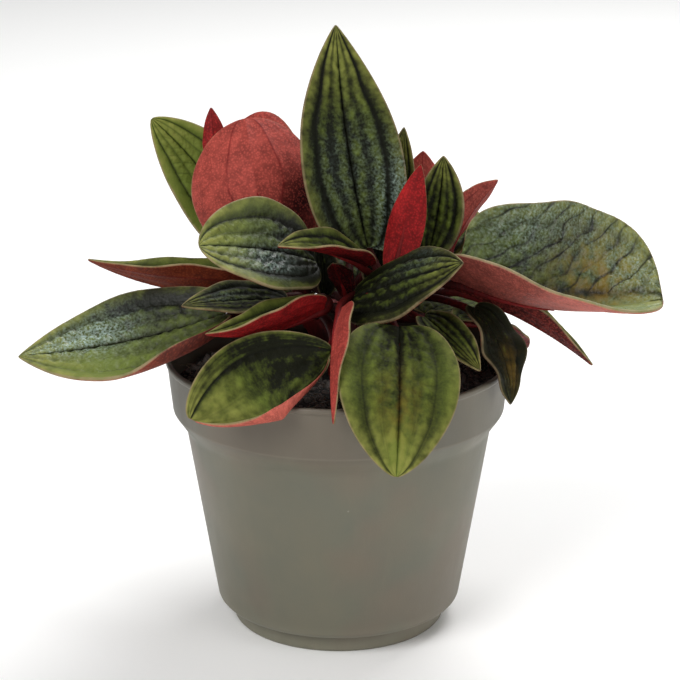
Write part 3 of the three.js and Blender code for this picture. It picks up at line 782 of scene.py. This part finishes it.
def half_widths(form, s, side):
    """How wide the halves are at s, from 0 at the base to 1 at the tip, and the share of the greatest."""
    widest, point = form["widest"], form["point"]
    rise = point * widest / (1 - widest)
    share = (s / widest) ** rise * ((1 - s) / (1 - widest)) ** point
    return by_half(form["width"], side) / 2 * share, share


def midrib(form, s):
    """Points along the midrib, with its forward, upward and leftward directions."""
    base, faces = np.array(form["base"], float), np.array(form["faces"], float)
    whole = chord(form)
    span = np.linalg.norm(whole)
    ahead = whole / span
    up = unit(faces - faces @ ahead * ahead)
    left = np.cross(up, ahead)
    s = np.asarray(s, float)[..., None]
    bow = 4 * s * (1 - s)
    bow_rate = 4 * (1 - 2 * s)
    lift = form["arch"] * bow - form["hook"] * (s**3 - s)
    lift_rate = form["arch"] * bow_rate - form["hook"] * (3 * s**2 - 1)
    points = base + whole * s + span * (up * lift + left * form["sweep"] * bow)
    forward = unit(ahead + up * lift_rate + left * form["sweep"] * bow_rate)
    upward = unit(np.cross(forward, left))
    turn = np.radians(form["twist"] * s)
    upward = upward * np.cos(turn) + np.cross(forward, upward) * np.sin(turn)
    return points, forward, upward, np.cross(upward, forward)


def run_out(rate, v):
    """The sum of a rate from the midrib outwards to each place across, on both halves."""
    middle = v.shape[1] // 2
    pieces = (rate[:, 1:] + rate[:, :-1]) / 2 * np.abs(np.diff(v, axis=1))
    total = np.zeros_like(rate)
    total[:, middle + 1 :] = np.cumsum(pieces[:, middle:], axis=1)
    total[:, :middle] = np.cumsum(pieces[:, middle - 1 :: -1], axis=1)[:, ::-1]
    return total


def middle_surface(form, s, v):
    """The blade's middle surface at columns s and rows v, from -1 at its right edge to 1 at its left."""
    points, forward, upward, leftward = (part[:, None] for part in midrib(form, s))
    s, v = s[:, None], v[None, :]
    side = np.sign(v)
    half_width, share = half_widths(form, s, side)
    crease = np.radians(by_half(form["crease"], side)) * (1 - CREASE_OPENING * s)
    cup = np.radians(by_half(form["cup"], side)) * np.abs(v) * share
    left, right, where, reach, start = form["roll"]
    ramp = np.clip((np.abs(v) - start) / (1 - start), 0, 1)
    turn = np.radians(np.where(side < 0, right, left)) * ramp * np.exp(-(((s - where) / reach) ** 2))
    slope = crease + cup + turn
    across = side * run_out(np.cos(slope), v) * half_width
    ripple = form["wave"] * np.sin(form["phase"] + EDGE_RIPPLES * s + 1.3 * side) * v**2 * share
    above = run_out(np.sin(slope), v) * half_width + ripple
    at_base = (1 - np.exp(-50 * s)) * np.exp(-((s / LOBE_END) ** 2))
    behind = form["lobe"] * np.linalg.norm(chord(form)) * np.abs(v) ** 1.5 * at_base
    return points + leftward * across[..., None] + upward * above[..., None] - forward * behind[..., None]


def across_steps(per_band):
    """Places across a blade, closer together by the long veins, where its surface turns."""
    turns = (1 - np.cos(np.pi * np.arange(1, per_band + 1) / per_band)) / 2
    bands = [low + (high - low) * turns for low, high in zip(LONG_VEINS, LONG_VEINS[1:])]
    half = np.concatenate([[0.0], *bands])
    return np.concatenate([-half[:0:-1], half])


def wobble(x, y, size, seed):
    """Smooth wandering between about -1 and 1, with lumps of about size."""
    draw = np.random.default_rng(seed)
    total = 0
    for _ in range(6):
        angle, phase = draw.uniform(0, 2 * np.pi, 2)
        pace = draw.uniform(0.6, 1.5) * 2 * np.pi / size
        total = total + np.sin(pace * (x * np.cos(angle) + y * np.sin(angle)) + phase)
    return total / 3


def surface_form(form, look, s, v, settings, seed):
    """The heights of the long bands and of the furrows across them, how far each place is up a band, how
    near a vein, how near the edge, how its cross veins run, and its place on the blade laid flat."""

    def wander(kind, x, y):
        """The blade's own wandering of a kind."""
        size, more = WANDERINGS[kind]
        return wobble(x, y, size, seed + more)

    side = np.sign(v)[None, :]
    half_width, _ = half_widths(form, s[:, None], side)
    x = half_width * v[None, :]
    y = s[:, None] * np.linalg.norm(chord(form)) + 0 * x
    size = np.clip(half_width / FULL_RELIEF, 0, 1)
    stray = VEIN_STRAY * wander("vein", y, 0 * y) * np.sin(np.pi * np.abs(v[None, :]))
    off = v[None, :] - look["axis"]
    a = np.clip(np.abs(off) / (1 - np.sign(off) * look["axis"]) + stray, 0, 1)

    crest = np.zeros_like(x)
    bands = np.zeros_like(x)
    vein = np.zeros_like(x)
    for low, high, strength in zip(LONG_VEINS, LONG_VEINS[1:], look["veins"]):
        inside = (a >= low) & (a <= high)
        t = np.clip((a - low) / (high - low), 0, 1)
        reach, lightness = LAST_BAND if high == LONG_VEINS[-1] else (1, 1)
        arc = np.sin(np.pi * t * reach)
        width = (high - low) * half_width
        rise = arc**0.75 * np.minimum(settings.band_rise * width, BAND_LIMIT)
        crest = np.where(inside, arc * lightness, crest)
        bands = np.where(inside, rise, bands)
        breadth = np.clip(0.08 * width, *VEIN_BREADTH)
        vein = np.maximum(vein, strength * np.exp(-(((a - low) * half_width / breadth) ** 2)))
    # A weak vein leaves a saddle between the bands on its two sides.
    for low, strength in zip(LONG_VEINS[1:], look["veins"][1:]):
        saddle = (1 - strength) * np.exp(-(((a - low) / SADDLE) ** 2))
        crest = np.maximum(crest, saddle)
        height = np.minimum(settings.band_rise * LONG_VEINS[1] * half_width, BAND_LIMIT)
        bands = np.maximum(bands, saddle * height)

    cross_strength, spacing = look["cross"]
    phase = (y - CROSS_SLANT * half_width * a) / spacing + CROSS_STRAY * wander("cross", x, y)
    phase = phase + 0.5 * (side > 0)
    furrow = np.abs(np.sin(np.pi * phase)) ** 0.6
    uneven = np.clip(0.75 + 0.5 * wander("uneven", x, y), 0.2, 1.3)
    lumps = wander("lumps", x, y)
    inner = np.clip((CROSS_END - a) / 0.12, 0.15, 1)
    if look["axis"]:
        inner = np.where(off < 0, 0.1, 1.0)
    furrows = settings.pucker / MM * size * inner * (crest * uneven * (furrow - 0.8) + 0.5 * lumps)
    furrows = furrows * (1 + 1.8 * cross_strength)
    crest = crest * (1 - (0.25 + 0.4 * cross_strength) * uneven * inner * (1 - furrow))
    crest = crest * (1 + 0.2 * lumps)
    quilting = inner * min(1, 4 * cross_strength)
    cross = np.stack(np.broadcast_arrays(quilting, phase, cross_strength * size * inner * uneven))

    from_edge = (1 - np.abs(v)[None, :]) * half_width
    rim = np.exp(-((from_edge / (settings.rim / MM * (1 + 1.6 * look["edge"]))) ** 2))
    return bands, furrows, crest, vein, rim, cross, x, y


def patches(spots, s, v):
    """How strong the patches are together at each place."""
    total = np.zeros((len(s), len(v)))
    long, wide = PATCH_REACH
    for strength, along, across in spots:
        far = ((s[:, None] - along) / long) ** 2 + ((v[None, :] - across) / wide) ** 2
        total += strength * np.exp(-far)
    return total


def blade(name, form, look, settings, index):
    """One blade as a closed mesh: an upper skin, a rounded edge, a lower skin and the other edge."""
    rows = int(np.clip(np.linalg.norm(chord(form)) * RINGS_PER_MM, *RINGS))
    s = END_GAP + (1 - 2 * END_GAP) * (1 - np.cos(np.pi * np.arange(rows) / (rows - 1))) / 2
    v = across_steps(STEPS_ACROSS[bool(np.max(form["width"]) > WIDE)])
    middle = middle_surface(form, s, v)
    along = np.gradient(middle, s, axis=0)
    normal = unit(np.cross(along, np.gradient(middle, v, axis=1)))
    outward = unit(np.cross(normal, along))
    bands, furrows, crest, vein, rim, cross, x, y = surface_form(form, look, s, v, settings, index)

    ends = np.minimum(1, np.sqrt(np.minimum(s, 1 - s) / 0.02))[:, None]
    half = BLADE_THICKNESS / 2 * (1.1 - 0.6 * v[None, :] ** 4) * (0.35 + 0.65 * ends)
    keel = KEEL_HEIGHT * np.exp(-((x / KEEL_BREADTH) ** 2)) * (1 - s[:, None])
    # The tint patches are painted light and shade, partly the blade's own tone; the sheen patches are a
    # painted sheen.
    tint, silver, rust = (patches(look[key], s, v) for key in ("tint", "silver", "rust"))

    # Round the blade: each place's column, and how far it has turned to the lower side.
    last = len(v) - 1
    columns = [*range(last + 1), *[last] * 3, *range(last, -1, -1), *[0] * 3]
    turns = np.array([*[0.0] * (last + 1), *EDGE_TURNS, *[1.0] * (last + 1), *EDGE_TURNS[::-1]])
    across = v[columns]
    middle, normal, outward, half, keel, bands, furrows, crest, vein, rim, x, y, tint, silver, rust = (
        part[:, columns]
        for part in (
            middle, normal, outward, half, keel, bands, furrows, crest, vein, rim, x, y, tint, silver, rust
        )
    )
    top = (1 + np.cos(np.pi * turns)) / 2
    lift = bands * (BANDS_BELOW + (1 - BANDS_BELOW) * top)
    lift = lift + furrows * (FURROWS_BELOW + (1 - FURROWS_BELOW) * top)
    lift = lift - keel * (1 - top) + half * np.cos(np.pi * turns)
    aside = half * np.sin(np.pi * turns) * np.sign(across)
    points = middle + normal * lift[..., None] + outward * aside[..., None]
    poles = points[[0, -1]].mean(axis=1)
    points = np.concatenate([points.reshape(-1, 3), poles]) * MM
    piece = new_mesh("blade_" + name, points, tube_faces(rows, len(columns)))

    def laid(*parts):
        """Three values for each point, the two poles last."""
        grid = np.stack([np.broadcast_to(part, (rows, len(columns))) for part in parts], axis=-1)
        return np.concatenate([grid.reshape(-1, 3), grid[[0, -1], 0]])

    mesh = piece.data
    # shade and the tint patches lighten or darken both sides: partly the blade's own tone, partly painted
    # light and shade.
    shade, blush = (np.clip(look[key] + tint, -0.6, 1) for key in ("shade", "blush"))
    pale = np.maximum(np.clip((top + 0.1) / 0.3, 0, 1) * (top > 0), look["edge"])
    store(mesh, "place", laid(top, s[:, None], across))
    # crest lightens the upper side's colour: partly the leaf's own tone, partly painted light on the crests
    # and painted shade in the furrows.
    store(mesh, "form", laid(crest, vein, rim * pale))
    store(mesh, "tone", laid(shade, blush, look["salmon"]))
    store(mesh, "skin", laid(silver, rust, look["gloss"]))
    store(mesh, "cross", laid(*cross[:, :, columns]))
    flat = laid(x, y, 0)[:, :2] * MM + (0.0, 0.2 * index)
    corners = np.empty(len(mesh.loops), np.int32)
    mesh.loops.foreach_get("vertex_index", corners)
    uv = mesh.uv_layers.new(name="blade")
    uv.data.foreach_set("uv", flat[corners].astype(np.float32).ravel())
    return piece


def blade_forms():
    """Each blade's whole form by its name, with its own start to the edge's ripples."""
    return {name: {**form, "phase": 2.4 * index} for index, (name, form) in enumerate(BLADES.items())}


# ------------------------------------------------------------------ stalks


def bezier(points, count):
    t = np.linspace(0, 1, count)[:, None]
    a, b, c, d = (np.array(p, float) for p in points)
    return (1 - t) ** 3 * a + 3 * (1 - t) ** 2 * t * b + 3 * (1 - t) * t**2 * c + t**3 * d


def stalk_path(form):
    """A stalk's points and radii: up from its branch, in under its blade, and out along the midrib."""
    at, forward, upward, _ = (part[0] for part in midrib(form, np.array([form["joint"]])))
    end = at - upward * (BLADE_THICKNESS / 2 + STALK["gap"])
    top = min(BRANCH_TOPS, key=lambda point: np.linalg.norm(np.array(point) - end))
    climb = (end[2] - STALK["low_joint"]) / (STALK["high_joint"] - STALK["low_joint"])
    share = np.clip(STALK["lowest"] + (1 - STALK["lowest"]) * climb, STALK["lowest"], 1)
    start = np.array(STEM_FORK) + share * (np.array(top) - np.array(STEM_FORK))
    before_end = end - STALK["reach"] * forward - STALK["dip"] * upward
    path = bezier([start, start + (0, 0, STALK["rise"]), before_end, end], STALK["steps"])
    s = np.linspace(form["joint"], STALK["keel_end"], STALK["keel_steps"])[1:]
    along, _, up, _ = midrib(form, s)
    keel = along - up * np.linspace(*STALK["keel_drop"], len(s))[:, None]
    tapers = [(STALK["taper"], STALK["steps"]), (STALK["keel_taper"], len(s))]
    radii = np.concatenate([np.linspace(*taper, count) for taper, count in tapers])
    young = min(1.0, STALK["youngest"] + np.max(form["width"]) / STALK["full_width"])
    return np.concatenate([path, keel]), radii * STALK["radius"] * young


def branch_paths():
    """The crown: its trunk and branches, with rounded ends."""
    routes = [(STEM_FOOT, STEM_FORK, STEM_RADIUS)]
    routes += [(STEM_FORK, top, BRANCH_RADIUS) for top in BRANCH_TOPS]
    for low, high, radius in routes:
        low, high = np.array(low, float), np.array(high, float)
        ahead = (high - low) / np.linalg.norm(high - low)
        t = np.linspace(0, 1, BRANCH_STEPS)[:, None]
        thick, close = BRANCH_KNOTS
        knots = 1 + thick * np.sin(close * t[:, 0] + radius)
        turn = np.linspace(*CAP_TURNS)
        cap = high + ahead * radius * np.sin(turn)[:, None]
        points = np.concatenate([low + (high - low) * t, cap])
        yield points, radius * np.concatenate([knots, np.cos(turn) * knots[-1]])


def tube_tree():
    """Geometry nodes that sweep a round section along curves by their radius."""
    n, given = new_tree("tubes", Curves="Geometry", Sides="Int")
    way = n.add("GeometryNodeSplineParameter").outputs["Factor"]
    inputs = {0: given["Curves"], "Name": "along", "Value": way}
    named = n.one("GeometryNodeStoreNamedAttribute", inputs, domain="POINT", data_type="FLOAT")
    circle = n.one("GeometryNodeCurvePrimitiveCircle", {"Resolution": given["Sides"], "Radius": 1.0})
    radius = n.one("GeometryNodeInputRadius")
    inputs = {"Curve": named, "Profile Curve": circle, "Scale": radius, "Fill Caps": True}
    swept = n.one("GeometryNodeCurveToMesh", inputs)
    return end_tree(n, given, n.one("GeometryNodeSetShadeSmooth", {0: swept}))


# ------------------------------------------------------------------ soil


def soil_height(x, y):
    """The soil's surface above the pot's foot."""
    height = SOIL_LEVEL + SOIL_MOUND * (1 - (np.hypot(x, y) / SOIL_REACH) ** 2)
    for rise, size, seed in SOIL_LUMPS:
        height = height + rise * wobble(x, y, size, seed)
    return height


def soil_bed():
    """The soil as one closed body, from the pot's floor to an uneven top."""
    across, ahead = round_steps(SOIL_SIDES)
    rings = []
    for i in range(1, SOIL_RINGS + 1):
        radius = SOIL_EDGE * (i / SOIL_RINGS)
        x, y = radius * across, radius * ahead
        drop = SOIL_EDGE_DROP * (radius / SOIL_EDGE) ** 24
        rings.append(np.stack([x, y, soil_height(x, y) - drop], axis=1))
    for radius, height in SOIL_WALL:
        rings.append(np.stack([radius * across, radius * ahead, 0 * ahead + height], axis=1))
    poles = np.array([(0, 0, soil_height(0, 0)), (0, 0, SOIL_WALL[-1][1])])
    points = np.concatenate([*rings, poles]) * MM
    faces = [face[::-1] for face in tube_faces(len(rings), SOIL_SIDES)]
    return new_mesh("soil_bed", points, faces)


def soil_top():
    """A bare copy of the soil's surface, for what lies on it."""
    steps = np.linspace(-SOIL_REACH, SOIL_REACH, LITTER_STEPS)
    x, y = np.meshgrid(steps, steps)
    points = np.stack([x, y, soil_height(x, y)], axis=-1).reshape(-1, 3) * MM
    low, high = LITTER_RING
    faces = []
    for i in range(LITTER_STEPS - 1):
        for j in range(LITTER_STEPS - 1):
            if low < np.hypot(steps[j], steps[i]) < high:
                a, b = i * LITTER_STEPS + j, (i + 1) * LITTER_STEPS + j
                faces.append((a, a + 1, b + 1, b))
    return new_mesh("soil_top", points, faces)


def random_value(n, low, high, seed, kind="FLOAT"):
    node = n.add("FunctionNodeRandomValue", {"Seed": seed}, data_type=kind)
    pair = [socket for socket in node.inputs if socket.enabled and socket.name in ("Min", "Max")]
    for socket, value in zip(pair, (low, high)):
        socket.default_value = value
    return next(socket for socket in node.outputs if socket.enabled)


def scatter_tree(name):
    """The start of a tree that strews small shapes over a surface."""
    n, given = new_tree(name, Surface="Geometry", Density="Float", Size="Float", Seed="Int")
    inputs = {"Mesh": given["Surface"], "Density": given["Density"], "Seed": given["Seed"]}
    return n, given, n.one("GeometryNodeDistributePointsOnFaces", inputs)


def strewn(n, points, shape, turn, scale):
    """A shape set on each point, as real geometry."""
    inputs = {"Points": points, "Instance": shape, "Rotation": turn, "Scale": scale}
    return n.one("GeometryNodeRealizeInstances", {0: n.one("GeometryNodeInstanceOnPoints", inputs)})


def shaken(n, geometry, size, depth):
    """Moves each point by noise of a size, so that no two shapes are alike."""
    place = n.one("GeometryNodeInputPosition")
    lumps = n.add("ShaderNodeTexNoise", {"Vector": place, "Scale": 1 / (size * MM), "Detail": 1.0})
    halves = {0: lumps.outputs["Color"], 1: (0.5, 0.5, 0.5)}
    centred = n.one("ShaderNodeVectorMath", halves, operation="SUBTRACT")
    return n.one("GeometryNodeSetPosition", {0: geometry, "Offset": n.scaled(centred, depth * MM)})


def crumb_tree():
    """Rough crumbs of many sizes, half sunk in the surface."""
    n, given, points = scatter_tree("crumbs")
    ball = n.one("GeometryNodeMeshIcoSphere", {"Radius": 1.0, "Subdivisions": 1})
    turn = random_value(n, (0, 0, 0), [FULL_TURN] * 3, 1, "FLOAT_VECTOR")
    small_mostly = n.maths("POWER", random_value(n, 0.0, 1.0, 2), 3.0)
    scale = n.times(given["Size"], n.plus(n.times(small_mostly, 0.75), 0.25))
    squeeze = random_value(n, (0.7, 0.7, 0.5), (1.2, 1.2, 0.9), 3, "FLOAT_VECTOR")
    crumbs = strewn(n, points, ball, turn, n.scaled(squeeze, scale))
    return end_tree(n, given, shaken(n, crumbs, *CRUMB_SHAKE))


def fibre_tree():
    """Thin bent fibres that lie on the surface and rise from it at their ends."""
    n, given, points = scatter_tree("fibres")
    line = n.one("GeometryNodeCurvePrimitiveLine", {"Start": (-0.5, 0, 0), "End": (0.5, 0, 0)})
    steps = n.one("GeometryNodeResampleCurve", {"Curve": line, "Count": 9})
    turn = random_value(n, (-0.35, -0.4, 0), (0.35, 0.4, FULL_TURN), 5, "FLOAT_VECTOR")
    long = n.times(given["Size"], random_value(n, 0.3, 1.0, 6))
    bent = shaken(n, strewn(n, points, steps, turn, long), *FIBRE_SHAKE)
    circle = n.one("GeometryNodeCurvePrimitiveCircle", {"Resolution": 4, "Radius": FIBRE_RADIUS * MM})
    inputs = {"Curve": bent, "Profile Curve": circle, "Fill Caps": True}
    return end_tree(n, given, n.one("GeometryNodeCurveToMesh", inputs))


# ------------------------------------------------------------------ pot


def filleted(corners):
    """The corners (radius, height, fillet) with each one rounded by an arc."""
    points = []
    for i, (radius, height, fillet) in enumerate(corners):
        corner = Vector((radius, height))
        if fillet == 0 or i in (0, len(corners) - 1):
            points.append(corner)
            continue
        back = Vector(corners[i - 1][:2]) - corner
        on = Vector(corners[i + 1][:2]) - corner
        reach = min(fillet, back.length * FILLET_LIMIT, on.length * FILLET_LIMIT)
        a, b = corner + back.normalized() * reach, corner + on.normalized() * reach
        for t in np.linspace(0, 1, FILLET_STEPS):
            points.append((1 - t) ** 2 * a + 2 * t * (1 - t) * corner + t**2 * b)
    return points


def pot_shell(segments):
    """The pot, turned from its section, with its drain slots cut through the floor."""
    floor = POT_INSIDE[-1][1]
    profile = filleted([(0, 0, 0), *POT_OUTSIDE, *POT_INSIDE, (0, floor, 0)])
    x, y = round_steps(segments)
    rings = [np.stack([radius * x, radius * y, 0 * x + z], axis=1) for radius, z in profile[1:-1]]
    points = np.concatenate([*rings, [(0, 0, 0), (0, 0, floor)]]) * MM
    shell = new_mesh("pot_shell", points, tube_faces(len(rings), segments))
    cutter = drain_cutter()
    cut = shell.modifiers.new("drains", "BOOLEAN")
    cut.object = cutter
    cut.solver = "EXACT"
    pot = frozen(shell, "nursery_pot")
    bpy.data.objects.remove(cutter)
    return pot


def drain_cutter():
    """Upright slugs with round ends, one for each drain slot."""
    made = bmesh.new()
    width, straight = DRAINS["width"] / 2, (DRAINS["length"] - DRAINS["width"]) / 2
    turns = np.linspace(-np.pi / 2, np.pi / 2, 9)
    outline = [(straight + width * math.cos(t), width * math.sin(t)) for t in turns]
    outline += [(-x, -y) for x, y in outline]
    for i in range(DRAINS["count"]):
        angle = 2 * np.pi * i / DRAINS["count"]
        across, up = Vector((math.cos(angle), math.sin(angle), 0)), Vector((0, 0, 1))
        along = across.cross(up)
        ring = [(across * (DRAINS["circle"] + x) - along * y) * MM for x, y in outline]
        low, high = (
            [made.verts.new(point + up * DRAINS[end] * MM) for point in ring] for end in ("low", "high")
        )
        made.faces.new(low[::-1])
        made.faces.new(high)
        for j in range(len(ring)):
            k = (j + 1) % len(ring)
            made.faces.new((low[j], low[k], high[k], high[j]))
    mesh = bpy.data.meshes.new("drains")
    made.to_mesh(mesh)
    made.free()
    return link("drains", mesh)


# ------------------------------------------------------------------ studio


def soft_light(name, power):
    """A square soft light that looks at the middle of the plant."""
    place, width = LIGHTS[name]
    lamp = bpy.data.lights.new(name, "AREA")
    lamp.size = width
    lamp.energy = power
    thing = link(name, lamp)
    thing.location = place
    thing.rotation_euler = (Vector(LIT_POINT) - Vector(place)).to_track_quat("-Z", "Y").to_euler()


def photo_camera(scene):
    """The photograph's view, from the front and looking down a little."""
    lens = bpy.data.cameras.new("camera")
    lens.sensor_width = CAMERA["sensor"]
    lens.lens = CAMERA["lens"]
    camera = link("camera", lens)
    camera.location = CAMERA["place"]
    camera.rotation_euler = (math.radians(90 - CAMERA["down"]), 0, 0)
    scene.camera = camera


# ------------------------------------------------------------------ operators


class PLANT_OT_pot(bpy.types.Operator):
    """Turns the nursery pot and gives it its plastic"""

    bl_idname = "plant.pot"
    bl_label = "Pot"

    def execute(self, context):
        settings = context.scene.plant_pot
        dress(pot_shell(settings.segments), pot_material(settings), "pot", "pot")
        return {"FINISHED"}


class PLANT_OT_soil(bpy.types.Operator):
    """Fills the pot with soil"""

    bl_idname = "plant.soil"
    bl_label = "Soil"

    def execute(self, context):
        dress(soil_bed(), soil_material(context.scene.plant_soil), "soil", "soil")
        return {"FINISHED"}


class PLANT_OT_litter(bpy.types.Operator):
    """Strews crumbs and fibres over the soil"""

    bl_idname = "plant.litter"
    bl_label = "Crumbs and fibres"

    def execute(self, context):
        settings = context.scene.plant_soil
        straw = fibre_material(settings)
        soil = bpy.data.materials["soil"]
        for name, tree, count, size, seed, material in (
            ("soil_crumbs", crumb_tree(), settings.crumbs, settings.crumb_size, settings.seed, soil),
            ("soil_fibres", fibre_tree(), settings.fibres, settings.fibre_length, settings.seed + 1, straw),
        ):
            litter = run_tree(soil_top(), tree, name, Density=count, Size=size, Seed=seed, Material=material)
            dress(litter, material, "soil")
        return {"FINISHED"}


class PLANT_OT_stalks(bpy.types.Operator):
    """Grows the crown and a stalk to each blade"""

    bl_idname = "plant.stalks"
    bl_label = "Crown and stalks"

    def execute(self, context):
        settings = context.scene.plant_stalks
        data = bpy.data.curves.new("routes", "CURVE")
        data.dimensions = "3D"
        for points, radii in [*branch_paths(), *(stalk_path(form) for form in blade_forms().values())]:
            spline = data.splines.new("POLY")
            spline.points.add(len(points) - 1)
            for point, place, radius in zip(spline.points, points, radii):
                point.co = (*(place * MM), 1)
                point.radius = radius * MM
        skin = stalk_material(settings)
        routes = link("routes", data)
        stalks = run_tree(routes, tube_tree(), "crown_and_stalks", Sides=settings.sides, Material=skin)
        dress(stalks, skin, "stems", "stems")
        return {"FINISHED"}


class PLANT_OT_blades(bpy.types.Operator):
    """Grows every leaf blade"""

    bl_idname = "plant.blades"
    bl_label = "Blades"

    def execute(self, context):
        settings = context.scene.plant_blades
        satin = blade_material(settings, "blade", settings.satin)
        glossy = blade_material(settings, "glossy_blade", settings.glossy)
        for index, (name, form) in enumerate(blade_forms().items()):
            look = {**BLADE_LOOK, **LOOKS.get(name, {})}
            skin = glossy if look["gloss"] > GLOSSY_FROM else satin
            dress(blade(name, form, look, settings, index), skin, "leaf", "leaf_" + name)
        return {"FINISHED"}


class PLANT_OT_studio(bpy.types.Operator):
    """Sets the floor, the soft lights and the camera"""

    bl_idname = "plant.studio"
    bl_label = "Studio"

    def execute(self, context):
        settings = context.scene.plant_studio
        corners = [(x * FLOOR_REACH, y * FLOOR_REACH, 0) for x, y in ((-1, -1), (1, -1), (1, 1), (-1, 1))]
        floor = new_mesh("floor", corners, [(0, 1, 2, 3)])
        floor.data.materials.append(floor_material(settings))
        floor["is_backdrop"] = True
        for name in LIGHTS:
            soft_light(name, getattr(settings, name))
        sky = bpy.data.worlds.new("sky")
        sky.use_nodes = True
        shade = sky.node_tree.nodes["Background"]
        shade.inputs["Color"].default_value = (1, 1, 1, 1)
        shade.inputs["Strength"].default_value = settings.sky
        context.scene.world = sky
        context.scene.view_settings.view_transform = "Standard"
        photo_camera(context.scene)
        return {"FINISHED"}


# ------------------------------------------------------------------ panel


STEPS = [
    (PLANT_OT_pot, "plant_pot"),
    (PLANT_OT_soil, "plant_soil"),
    (PLANT_OT_litter, None),
    (PLANT_OT_stalks, "plant_stalks"),
    (PLANT_OT_blades, "plant_blades"),
    (PLANT_OT_studio, "plant_studio"),
]

SETTINGS = {
    "plant_pot": PotSettings,
    "plant_soil": SoilSettings,
    "plant_stalks": StalkSettings,
    "plant_blades": BladeSettings,
    "plant_studio": StudioSettings,
}


class PLANT_PT_sidebar(bpy.types.Panel):
    """The plant's pieces, each with its settings"""

    bl_label = "Potted peperomia"
    bl_idname = "PLANT_PT_sidebar"
    bl_space_type = "VIEW_3D"
    bl_region_type = "UI"
    bl_category = "Plant"

    def draw(self, context):
        for operator, group in STEPS:
            box = self.layout.box()
            box.operator(operator.bl_idname)
            if group:
                for name in SETTINGS[group].__annotations__:
                    box.prop(getattr(context.scene, group), name)


CLASSES = [*SETTINGS.values(), *(operator for operator, _ in STEPS), PLANT_PT_sidebar]


def register():
    for item in CLASSES:
        bpy.utils.register_class(item)
    for name, group in SETTINGS.items():
        setattr(bpy.types.Scene, name, PointerProperty(type=group))


def unregister():
    for name in SETTINGS:
        delattr(bpy.types.Scene, name)
    for item in reversed(CLASSES):
        bpy.utils.unregister_class(item)


def main():
    register()
    bpy.ops.plant.pot()
    bpy.ops.plant.soil()
    bpy.ops.plant.litter()
    bpy.ops.plant.stalks()
    bpy.ops.plant.blades()
    bpy.ops.plant.studio()
    visual_box = [list(corner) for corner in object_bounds()]


if __name__ == "__main__":
    main()
